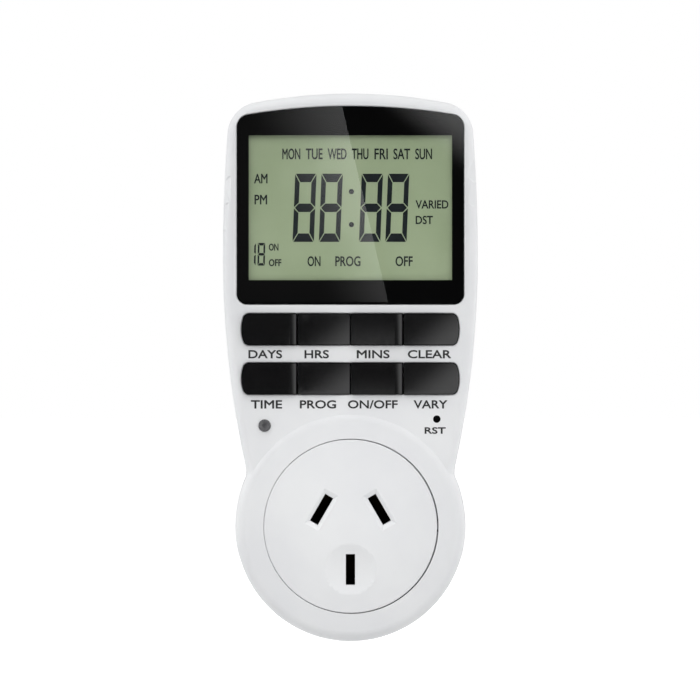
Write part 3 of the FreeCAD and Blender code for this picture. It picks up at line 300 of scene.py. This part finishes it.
# What each record slot is made of, and the nodes below it that differ from the rest of their slot
slotFinishes = {
    "case": "absPaleGrey", "black": "absGlossBlack", "lens": "clearAcrylic", "film": "printedBlackFilm",
    "lcd": "lcdReflector", "frame": "milkyPolypropylene", "silicone": "siliconeGrey",
    "strip": "layeredRubber", "board": "solderResist", "steel": "zincPlate", "brass": "stampedBrass",
    "nickel": "nickelPlate", "copper": "enamelledCopper", "relay": "polyesterBlue",
    "component": "mouldedEpoxy", "capacitor": "dippedYellow", "sleeve_can": "shrinkSleeve",
    "disc": "dippedBlue", "resistor": "siliconeGrey", "lamp": "smokedEpoxy", "wire_live": "vinylBrown",
    "wire_neutral": "vinylBlue", "ribbon": "siliconeGrey",
}
nodeSlots = {row["node"]: row["material_slot"] for row in frame["record"]["subparts"]}
nodeFinishes = {node: slotFinishes[slot] for node, slot in nodeSlots.items()}
# The contact carrier and the reset button are darkened as painted shade of the slots and the pinhole
nodeFinishes.update(socket_base="phenolicBlack", pin_sleeves="polyamideBlack", reset_button="polyamideDull")
# The contacts take the darkened brass: painted shade of the slots
nodeFinishes.update({f"{name}_contact": "tarnishedBrass" for name in ("live", "neutral", "earth")})
bodyOf = {node: body for body, members in frame["record"]["behaviour"]["bodies"].items() for node in members}

for name, node in nodes.items():
    for slot in node.material_slots:
        slot.material = materials[nodeFinishes[name]]
print("CAD nodes finished:", len(nodes))


def camelCase(name):
    first, *others = name.split("_")
    return first + "".join(word.capitalize() for word in others)


def addPiece(name, mesh, finishName, body):
    piece = bpy.data.objects.new(name, mesh)
    bpy.context.scene.collection.objects.link(piece)
    mesh.materials.clear()
    mesh.materials.append(materials[finishName])
    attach(piece, body)
    return piece


# A step between two faces above sharpAngle degrees stays an edge, and one below flatAngle joins them into one
# face. A face square to an axis, or of more than flatCorners corners, is flat up to the rounding beside it.
# Points within weld millimetres are one
smoothing = {"sharpAngle": 28, "flatAngle": 0.05, "flatCorners": 4, "square": 0.99999, "weld": 0.001}


def mergedCopy(node):
    mesh = nodes[node].data.copy()
    shape = bmesh.new()
    shape.from_mesh(mesh)
    bmesh.ops.remove_doubles(shape, verts=shape.verts, dist=smoothing["weld"] * mm)
    bmesh.ops.dissolve_limit(
        shape, angle_limit=math.radians(smoothing["flatAngle"]), verts=shape.verts, edges=shape.edges,
    )
    shape.to_mesh(mesh)
    shape.free()
    return mesh


def cornerNormals(mesh):
    # One direction for each face corner, from the faces round it that lie within the sharp angle. A flat face
    # decides alone, and the others count less the longer their edges are, as on a true curve
    smooth = math.cos(math.radians(smoothing["sharpAngle"]))
    around = [[] for vertex in mesh.vertices]
    for face in mesh.polygons:
        square = max(abs(n) for n in face.normal) > smoothing["square"]
        flat = square or len(face.vertices) > smoothing["flatCorners"]
        ring = [mesh.vertices[i].co / mm for i in face.vertices]
        for i, vertex in enumerate(face.vertices):
            before, after = ring[i - 1] - ring[i], ring[(i + 1) % len(ring)] - ring[i]
            pull = after.cross(before) / (before.length_squared * after.length_squared)
            around[vertex].append((face.normal.copy(), flat, face.normal.copy() if flat else pull))
    normals = []
    for face in mesh.polygons:
        for vertex in face.vertices:
            near = [
                (flat, pull) for normal, flat, pull in around[vertex] if normal.dot(face.normal) > smooth
            ]
            decides = [pull for flat, pull in near if flat] or [pull for flat, pull in near]
            total = sum(decides, Vector())
            normals.append(total.normalized() if total.length > 0 else face.normal.copy())
    return normals


# Key tops, in millimetres and degrees. The bowed ones fall away to the right on a large ball, as their solids
# do. The others are level solids with a rounded right edge, and on them three things are shading only: a
# soft band before that edge, a tighter rounding of it, and a slight upward turn of the top. A face of the top
# faces the front by more than facing and looks up or down by less than level
keyTops = {
    "bowed": ("hour_key", "clear_key", "program_key", "random_key"), "bowRadius": 115.0,
    "bandWidth": 1.9, "bandRise": 1.6, "bandTip": 8.5, "bandEdges": 5, "edgeRound": 0.3, "lift": 3.0,
    "capDepth": 0.85, "facing": 0.02, "level": 0.2,
}


def keyTopNormal(point, low, high, bowed):
    # The direction that the key's top is shaded with at a point, from its box
    if bowed:
        centre = Vector((low.x, low.y + keyTops["bowRadius"] * mm, (low.z + high.z) / 2))
        return (point - centre).normalized()
    intoBand = (point.x - high.x) / mm + keyTops["bandWidth"]
    intoRound = (point.x - high.x) / mm + keyTops["edgeRound"]
    share = min(max(intoBand / keyTops["bandRise"], 0.0), 1.0)
    tip = math.radians(keyTops["bandTip"]) * share
    turn = math.asin(min(max(intoRound / keyTops["edgeRound"], 0.0), 1.0))
    lift = math.radians(keyTops["lift"]) * (1 - share) * (high.z - point.z) / (high.z - low.z)
    return Vector((math.sin(max(tip, turn)), -math.cos(max(tip, turn)), math.sin(lift))).normalized()


def inCap(points, normal, capEnd):
    # Is a face part of the key's top, and not of its sides or flange?
    turned = normal.y < -keyTops["facing"] and abs(normal.z) < keyTops["level"]
    return turned and max(p.y for p in points) < capEnd


def bandCut(mesh, node):
    # Edges across a flat key's top, so that the soft band has corners of its own
    low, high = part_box(node)
    capEnd = low.y + keyTops["capDepth"] * mm
    shape = bmesh.new()
    shape.from_mesh(mesh)
    last = keyTops["bandEdges"] - 1
    for step in range(keyTops["bandEdges"]):
        x = high.x - (keyTops["bandWidth"] - keyTops["bandRise"] * step / last) * mm
        tops = [f for f in shape.faces if inCap([v.co for v in f.verts], f.normal, capEnd)]
        parts = {part for f in tops for part in (f, *f.edges, *f.verts)}
        bmesh.ops.bisect_plane(shape, geom=list(parts), plane_co=(x, 0, 0), plane_no=(1, 0, 0))
    shape.to_mesh(mesh)
    shape.free()


def keyNormals(mesh, node):
    low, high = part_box(node)
    capEnd = low.y + keyTops["capDepth"] * mm
    normals = cornerNormals(mesh)
    for face in mesh.polygons:
        corners = [mesh.vertices[i].co for i in face.vertices]
        if inCap(corners, face.normal, capEnd):
            for loop, corner in zip(face.loop_indices, corners):
                normals[loop] = keyTopNormal(corner, low, high, node in keyTops["bowed"])
    return normals


def smoothCopy(node):
    mesh = mergedCopy(node)
    isKey = node.endswith("_key")
    if isKey and node not in keyTops["bowed"]:
        bandCut(mesh, node)
    mesh.shade_smooth()
    mesh.normals_split_custom_set(keyNormals(mesh, node) if isKey else cornerNormals(mesh))
    piece = addPiece(camelCase(node), mesh, nodeFinishes[node], bodyOf[node])
    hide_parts(node)


shown = [
    "front_housing", "rear_housing", "socket_face", "case_screws", "display_window", "window_mask",
    "lcd_cell", "indicator_lamp", "reset_button", "socket_base", "live_pin", "neutral_pin", "earth_pin",
    "pin_sleeves",
]
shown += [node for node in nodes if node.endswith("_key")]
for node in shown:
    smoothCopy(node)
print("smooth copies:", len(shown))

keyProud = 0.9  # millimetres: how far a key stands in front of the panel
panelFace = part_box("day_key")[0].y + keyProud * mm


# How words are drawn: extrude is in letter heights, weld in millimetres. A face is a stroke's edge if its
# normal has less than sideways along Y, and a sharp corner moves 1 / sharpest times the weight at most
letters = {"extrude": 0.01, "curveSteps": 4, "weld": 0.0005, "sideways": 0.5, "sharpest": 0.6}


def evaluatedMesh(source):
    bpy.context.view_layer.update()
    return bpy.data.meshes.new_from_object(source.evaluated_get(bpy.context.evaluated_depsgraph_get()))


def fitted(mesh, left, right, low, high, back, thick):
    # Scales a flat mesh drawn in X-Y into a box in X-Z, standing thick in front of back
    points = [v.co for v in mesh.vertices]
    x0, x1 = min(p.x for p in points), max(p.x for p in points)
    y0, y1 = min(p.y for p in points), max(p.y for p in points)
    z0, z1 = min(p.z for p in points), max(p.z for p in points)
    for p in points:
        u, v, w = (p.x - x0) / (x1 - x0), (p.y - y0) / (y1 - y0), (p.z - z0) / (z1 - z0)
        p.xyz = (left + u * (right - left), back - w * thick, low + v * (high - low))
    return mesh


def wordMesh(text):
    curve = bpy.data.curves.new("word", "FONT")
    curve.body = text
    curve.extrude = letters["extrude"]
    curve.resolution_u = letters["curveSteps"]
    source = bpy.data.objects.new("word", curve)
    bpy.context.scene.collection.objects.link(source)
    mesh = evaluatedMesh(source)
    bpy.data.objects.remove(source)
    bpy.data.curves.remove(curve)
    return mesh


def joined(meshes):
    shape = bmesh.new()
    for mesh in meshes:
        shape.from_mesh(mesh)
        bpy.data.meshes.remove(mesh)
    bmesh.ops.remove_doubles(shape, verts=shape.verts, dist=letters["weld"] * mm)
    bmesh.ops.recalc_face_normals(shape, faces=shape.faces)
    result = bpy.data.meshes.new("joined")
    shape.to_mesh(result)
    shape.free()
    return result


def fattened(mesh, weight):
    # Moves the outline of flat letters outwards, square to the strokes' edges
    shape = bmesh.new()
    shape.from_mesh(mesh)
    shape.normal_update()
    moves = []
    for vertex in shape.verts:
        sides = [face.normal for face in vertex.link_faces if abs(face.normal.y) < letters["sideways"]]
        way = sum(sides, Vector()).normalized()
        spread = max(letters["sharpest"], min((way.dot(side) for side in sides), default=1.0))
        moves.append(way * weight / spread)
    for vertex, move in zip(shape.verts, moves):
        vertex.co += move
    shape.to_mesh(mesh)
    shape.free()
    return mesh


def printed(settings, back):
    # words: (text, left, right, low, high) in millimetres; weight is what the strokes gain at each edge
    thick, weight = settings["thickness"] * mm, settings["weight"] * mm
    meshes = []
    for text, *edges in settings["words"]:
        left, right, low, high = [edge * mm for edge in edges]
        meshes.append(
            fitted(wordMesh(text), left + weight, right - weight, low + weight, high - weight, back, thick),
        )
    return fattened(joined(meshes), weight)


# Legends printed on the panel: plain words for what each key does
legends = {
    "thickness": 0.02, "weight": 0.07,
    "words": [
        ("DAYS", -24.2, -16.2, 39.8, 41.8), ("HRS", -10.9, -5.1, 39.8, 41.8),
        ("MINS", 1.5, 9.3, 39.8, 41.8), ("CLEAR", 13.6, 23.9, 39.8, 41.8),
        ("TIME", -23.6, -16.2, 27.9, 29.9), ("PROG", -12.0, -3.4, 27.9, 29.9),
        ("ON/OFF", -0.6, 11.2, 27.9, 29.9), ("VARY", 15.0, 23.0, 27.9, 29.9),
        ("RST", 17.6, 22.6, 21.9, 23.5),
    ],
}
addPiece("legends", printed(legends, panelFace), "legendInk", "case")
print("legends:", len(legends["words"]))

# Words of the display, in millimetres
display = {
    "thickness": 0.02, "weight": 0.05,
    "words": [
        ("MON", -16.2, -11.9, 87.1, 89.7), ("TUE", -10.6, -6.6, 87.1, 89.7), ("WED", -5.4, -0.9, 87.1, 89.7),
        ("THU", 0.3, 4.3, 87.1, 89.7), ("FRI", 5.7, 8.9, 87.1, 89.7), ("SAT", 10.2, 14.2, 87.1, 89.7),
        ("SUN", 15.4, 19.4, 87.1, 89.7),
        ("AM", -22.9, -19.7, 81.4, 83.7), ("PM", -22.8, -19.8, 76.4, 78.7),
        ("VARIED", 15.5, 23.3, 75.4, 77.4), ("DST", 15.5, 19.6, 71.7, 73.7),
        ("ON", -19.4, -17.1, 65.4, 67.1), ("OFF", -19.4, -16.4, 61.7, 63.4),
        ("ON", -10.2, -7.1, 61.7, 64.1), ("PROG", -3.6, 2.4, 61.7, 64.1), ("OFF", 10.7, 14.8, 61.7, 64.1),
    ],
}
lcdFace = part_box("lcd_cell")[0].y
addPiece("displayWords", printed(display, lcdFace), "lcdSegment", "case")
print("display words:", len(display["words"]))

# Seven-segment digits, in millimetres
digits = {
    "width": 5.06, "height": 16.2, "upright": 1.13, "bar": 2.0, "gap": 0.16, "lean": 0.65,
    "left": -13.76, "low": 67.5, "pitch": 6.25, "count": 4, "colonGap": 3.3, "colonAfter": 2,
    "dotX": 0.24, "dotRadius": 0.62, "dotHeights": (71.6, 79.46), "thickness": 0.02,
}


digitSizes = ("width", "height", "upright", "bar", "gap", "lean", "thickness")
allSegments = "abcdefg"
mitres = {"tip": 1.5, "shoulder": 1.6}  # gaps at the middle bar's tips and beside it, in times the plain gap


def digitMesh(width, height, upright, bar, gap, lean, thick, segments):
    # Mitred segments: a top, b and c right, d bottom, e and f left, g middle
    mid, half = height / 2, bar / 2
    shapes = {
        "a": [
            (gap, height), (width - gap, height),
            (width - upright - gap, height - bar), (upright + gap, height - bar),
        ],
        "d": [(upright + gap, bar), (width - upright - gap, bar), (width - gap, 0), (gap, 0)],
        "g": [
            (gap * mitres["tip"], mid), (upright, mid + half), (width - upright, mid + half),
            (width - gap * mitres["tip"], mid), (width - upright, mid - half), (upright, mid - half),
        ],
        "b": [
            (width, height - gap), (width, mid + gap),
            (width - upright, mid + half + gap * mitres["shoulder"]), (width - upright, height - bar - gap),
        ],
    }
    shapes["c"] = [(x, height - z) for x, z in reversed(shapes["b"])]
    shapes["f"] = [(width - x, z) for x, z in reversed(shapes["b"])]
    shapes["e"] = [(width - x, height - z) for x, z in shapes["b"]]
    shape = bmesh.new()
    for name in segments:
        corners = [(x + lean * z / height, z) for x, z in shapes[name]]
        front = [shape.verts.new((x * mm, -thick * mm, z * mm)) for x, z in corners]
        back = [shape.verts.new((x * mm, 0, z * mm)) for x, z in corners]
        shape.faces.new(front)
        shape.faces.new(back[::-1])
        for i in range(len(front)):
            j = (i + 1) % len(front)
            shape.faces.new((front[j], front[i], back[i], back[j]))
    bmesh.ops.recalc_face_normals(shape, faces=shape.faces)
    mesh = bpy.data.meshes.new("digit")
    shape.to_mesh(mesh)
    shape.free()
    return mesh


def digitRow(inputs):
    # A row of one digit, with a wider step for the colon
    tree = bpy.data.node_groups.new("digitRow", "GeometryNodeTree")
    sockets = {}
    for name, kind in (
        ("Digit", "NodeSocketObject"), ("Count", "NodeSocketInt"), ("Pitch", "NodeSocketFloat"),
        ("Colon Gap", "NodeSocketFloat"), ("Start", "NodeSocketVector"), ("Finish", "NodeSocketMaterial"),
    ):
        sockets[name] = tree.interface.new_socket(name, in_out="INPUT", socket_type=kind).identifier
    tree.interface.new_socket("Row", in_out="OUTPUT", socket_type="NodeSocketGeometry")
    given = addNode(tree, "NodeGroupInput").outputs
    step = addNode(tree, "ShaderNodeCombineXYZ", {"X": given["Pitch"]})
    line = addNode(
        tree, "GeometryNodeMeshLine",
        {"Count": given["Count"], "Offset": step.outputs[0], "Start Location": given["Start"]},
    )
    index = addNode(tree, "GeometryNodeInputIndex")
    later = addNode(tree, "ShaderNodeMath", {0: index.outputs[0]}, operation="GREATER_THAN")
    later.inputs[1].default_value = digits["colonAfter"] - 0.5
    wider = addNode(
        tree, "ShaderNodeMath", {0: later.outputs[0], 1: given["Colon Gap"]}, operation="MULTIPLY",
    )
    shift = addNode(tree, "ShaderNodeCombineXYZ", {"X": wider.outputs[0]})
    moved = addNode(
        tree, "GeometryNodeSetPosition", {"Geometry": line.outputs[0], "Offset": shift.outputs[0]},
    )
    digit = addNode(tree, "GeometryNodeObjectInfo", {"Object": given["Digit"]})
    copies = addNode(
        tree, "GeometryNodeInstanceOnPoints",
        {"Points": moved.outputs[0], "Instance": digit.outputs["Geometry"]},
    )
    real = addNode(tree, "GeometryNodeRealizeInstances", {"Geometry": copies.outputs[0]})
    dressed = addNode(
        tree, "GeometryNodeSetMaterial", {"Geometry": real.outputs[0], "Material": given["Finish"]},
    )
    result = addNode(tree, "NodeGroupOutput")
    tree.links.new(dressed.outputs[0], result.inputs[0])

    holder = bpy.data.objects.new("digitRow", bpy.data.meshes.new("digitRow"))
    bpy.context.scene.collection.objects.link(holder)
    modifier = holder.modifiers.new("digitRow", "NODES")
    modifier.node_group = tree
    for name, value in inputs.items():
        modifier[sockets[name]] = value
    mesh = evaluatedMesh(holder)
    bpy.data.objects.remove(holder)
    return mesh


def digitPiece(name, settings, row, segments=allSegments):
    digit = bpy.data.objects.new("digit", digitMesh(*(settings[size] for size in digitSizes), segments))
    bpy.context.scene.collection.objects.link(digit)
    mesh = digitRow({"Digit": digit, "Finish": materials["lcdSegment"], **row})
    bpy.data.objects.remove(digit)
    return addPiece(name, mesh, "lcdSegment", "case")


digitPiece("clockDigits", digits, {
    "Count": digits["count"], "Pitch": digits["pitch"] * mm, "Colon Gap": digits["colonGap"] * mm,
    "Start": (digits["left"] * mm, lcdFace, digits["low"] * mm),
})

# The small program number, in millimetres: left is its eight and oneLeft the one before it
small = {
    "width": 1.75, "height": 5.4, "upright": 0.4, "bar": 0.62, "gap": 0.07, "lean": 0.1, "thickness": 0.02,
    "left": -22.1, "low": 61.85, "oneLeft": -24.3,
}
for name, left, segments in (("programUnits", "left", allSegments), ("programTens", "oneLeft", "bc")):
    digitPiece(name, small, {
        "Count": 1, "Pitch": 0.0, "Colon Gap": 0.0, "Start": (small[left] * mm, lcdFace, small["low"] * mm),
    }, segments)


def dotMesh(x, z, radius, back, thick, sides=32):
    shape = bmesh.new()
    bmesh.ops.create_cone(
        shape, cap_ends=True, segments=sides, radius1=radius, radius2=radius, depth=thick,
        matrix=Matrix.Translation((x, back - thick / 2, z)) @ Matrix.Rotation(math.pi / 2, 4, "X"),
    )
    mesh = bpy.data.meshes.new("dot")
    shape.to_mesh(mesh)
    shape.free()
    return mesh


dots = [
    dotMesh(digits["dotX"] * mm, z * mm, digits["dotRadius"] * mm, lcdFace, digits["thickness"] * mm)
    for z in digits["dotHeights"]
]
addPiece("colonDots", joined(dots), "lcdSegment", "case")
print("display digits:", digits["count"], "large, 2 small,", len(dots), "dots")

# Studio: a pale floor below the object, soft boxes at the sides and above, and a white surround. The floor is
# floorSize metres across and the other lengths are millimetres. Its glow grows with distance, and only the
# camera, gloss and glass see it
studio = {
    "floorDrop": 45.0, "floorSize": 12.0, "floorColour": "#E2E2E2",
    "glowFrom": 300.0, "glowTo": 1700.0, "glowNear": 0.42, "glowFar": 0.95, "ambient": 0.26,
}


def stageSheet(name, corners, material, glossOnly=False):
    # A flat sheet of the studio, from its corners in metres
    mesh = bpy.data.meshes.new(name)
    mesh.from_pydata(corners, [], [list(range(len(corners)))])
    mesh.materials.append(material)
    sheet = bpy.data.objects.new(name, mesh)
    bpy.context.scene.collection.objects.link(sheet)
    for rays in ("visible_camera", "visible_diffuse", "visible_shadow"):
        setattr(sheet, rays, not glossOnly)


def seenRays(tree):
    # 1 for the camera's rays and those of gloss and glass
    path = addNode(tree, "ShaderNodeLightPath")
    seen = path.outputs["Is Camera Ray"]
    for rays in ("Is Glossy Ray", "Is Transmission Ray"):
        either = addNode(tree, "ShaderNodeMath", {0: seen, 1: path.outputs[rays]}, operation="MAXIMUM")
        seen = either.outputs[0]
    return seen


def floorMaterial():
    material, tree = newMaterial("whiteFloor")
    matt = addNode(tree, "ShaderNodeBsdfDiffuse", Color=linear(studio["floorColour"]))
    spot = addNode(tree, "ShaderNodeTexCoord").outputs["Object"]
    away = addNode(tree, "ShaderNodeVectorMath", {0: spot}, operation="LENGTH").outputs["Value"]
    level = addNode(
        tree, "ShaderNodeMapRange", {"Value": away}, From_Min=studio["glowFrom"] * mm,
        From_Max=studio["glowTo"] * mm, To_Min=studio["glowNear"], To_Max=studio["glowFar"],
    )
    glow = addNode(
        tree, "ShaderNodeMath", {0: seenRays(tree), 1: level.outputs["Result"]}, operation="MULTIPLY",
    )
    white = addNode(tree, "ShaderNodeEmission", {"Strength": glow.outputs[0]})
    both = addNode(tree, "ShaderNodeAddShader", {0: matt.outputs[0], 1: white.outputs[0]})
    showShader(tree, both.outputs[0])
    return material


floorHeight = cadBox[0].z - studio["floorDrop"] * mm
reach = studio["floorSize"] / 2
floorCorners = [(x * reach, y * reach, floorHeight) for x, y in ((-1, -1), (1, -1), (1, 1), (-1, 1))]
stageSheet("floor", floorCorners, floorMaterial())

world = bpy.data.worlds.new("studio")
bpy.context.scene.world = world
world.use_nodes = True
tree = world.node_tree
tree.nodes.clear()
strength = addNode(
    tree, "ShaderNodeMapRange", {"Value": seenRays(tree)}, To_Min=studio["ambient"], To_Max=1.0,
)
surround = addNode(
    tree, "ShaderNodeBackground", {"Strength": strength.outputs["Result"]}, Color=(1, 1, 1, 1),
)
out = addNode(tree, "ShaderNodeOutputWorld")
tree.links.new(surround.outputs[0], out.inputs["Surface"])

# Cards that only gloss and glass see. Behind the camera stand a dark flag and two cards for the keys, close
# in front of the window three more, and behind the object a grey one that darkens its outline. Each brightens
# from start to end. away is millimetres in front of the origin, and points are millimetres across and above
# the camera's axis
cards = {
    "darkFlag": dict(
        away=1540, corners=[(-600, -500), (600, -500), (600, 500), (-600, 500)],
        start=(0, 0), end=(0, 500), dim=0.04, bright=0.04,
    ),
    "windowGlare": dict(
        away=92, corners=[(-46, 12), (9.4, 12), (-3.3, 66), (-46, 66)],
        start=(-1.1, -0.6), end=(25.8, 10.8), dim=0.11, bright=1.5,
    ),
    "windowFlag": dict(
        away=93, corners=[(-46, 12), (36, 12), (36, 75), (-46, 75)],
        start=(0, 0), end=(0, 500), dim=0.04, bright=0.04,
    ),
    "keySheen": dict(
        away=1520, corners=[(36, 18), (72, 20), (72, 260), (600, 260), (600, -500), (36, -500)],
        start=(172, 76), end=(320, -100), dim=0.12, bright=1.5,
    ),
    "keyGlow": dict(
        away=1510, corners=[(-4, -30), (34, -30), (34, 240), (-4, 240)],
        start=(15, 38), end=(15, 205), dim=0.05, bright=1.3,
    ),
    "cornerGlow": dict(
        away=92, corners=[(5, 60.1), (5, 71.5), (30.3, 71.5), (30.3, 40.8)],
        start=(31.1, 41.2), end=(38.7, 50.9), dim=0.05, bright=2.1,
    ),
    "edgeShade": dict(
        away=-500, corners=[(-1200, -115), (1200, -115), (1200, 1200), (-1200, 1200)],
        start=(0, 0), end=(0, 500), dim=0.6, bright=0.6,
    ),
}
view = {"place": Vector((-0.0001, -1.0415, 0.0418)), "lens": 216.8, "sensor": 36.0}


def glowMaterial(name, start, end, dim, bright):
    # Emission that rises smoothly from dim at start to bright at end
    material, tree = newMaterial(name)
    spot = addNode(tree, "ShaderNodeTexCoord").outputs["Object"]
    way = end - start
    away = addNode(tree, "ShaderNodeVectorMath", {0: spot}, operation="SUBTRACT")
    away.inputs[1].default_value = start
    along = addNode(tree, "ShaderNodeVectorMath", {0: away.outputs[0]}, operation="DOT_PRODUCT")
    along.inputs[1].default_value = way / way.length_squared
    level = addNode(
        tree, "ShaderNodeMapRange", {"Value": along.outputs["Value"]}, interpolation_type="SMOOTHSTEP",
        To_Min=dim, To_Max=bright,
    )
    glow = addNode(tree, "ShaderNodeEmission", {"Strength": level.outputs["Result"]})
    showShader(tree, glow.outputs[0])
    return material


for name, s in cards.items():
    corners, (start, end) = [
        [Vector((x * mm, -s["away"] * mm, view["place"].z + z * mm)) for x, z in points]
        for points in (s["corners"], (s["start"], s["end"]))
    ]
    stageSheet(name, corners, glowMaterial(name, start, end, s["dim"], s["bright"]), glossOnly=True)


def areaLight(name, aim, place, width, height, power):
    # Lights the object but isn't seen in its gloss, which shows the white surround and the cards instead
    light = bpy.data.lights.new(name, "AREA")
    light.shape = "RECTANGLE"
    light.size, light.size_y = width, height
    light.energy = power
    lamp = bpy.data.objects.new(name, light)
    bpy.context.scene.collection.objects.link(lamp)
    lamp.location = place
    lamp.rotation_euler = (Vector(aim) - Vector(place)).to_track_quat("-Z", "Y").to_euler()
    lamp.visible_camera = False
    lamp.visible_glossy = False


middle = (cadBox[0] + cadBox[1]) / 2
softBoxes = {
    "leftBox": dict(place=(-1.1, -0.14, 0.3), width=1.6, height=1.0, power=9.0),
    "rightBox": dict(place=(1.1, -0.14, 0.3), width=1.6, height=1.0, power=9.0),
    "topBox": dict(place=(0.0, -0.62, 1.2), width=1.6, height=1.0, power=12.5),
    "backBox": dict(place=(0.0, 1.2, 0.35), width=1.6, height=0.8, power=8.0),
    # a small weak lamp close in front of the socket
    "frontFill": dict(place=(0.0, -0.084, 0.008), width=0.03, height=0.03, power=0.0034),
}
for name, s in softBoxes.items():
    areaLight(name, middle, **s)

camera = bpy.data.cameras.new("camera")
camera.lens, camera.sensor_width = view["lens"], view["sensor"]
cameraObject = bpy.data.objects.new("camera", camera)
bpy.context.scene.collection.objects.link(cameraObject)
cameraObject.location = view["place"]
cameraObject.rotation_euler = (math.pi / 2, 0, 0)
bpy.context.scene.camera = cameraObject
bpy.context.scene.view_settings.view_transform = "Standard"
print("studio:", len(cards), "cards,", len(softBoxes), "soft boxes")
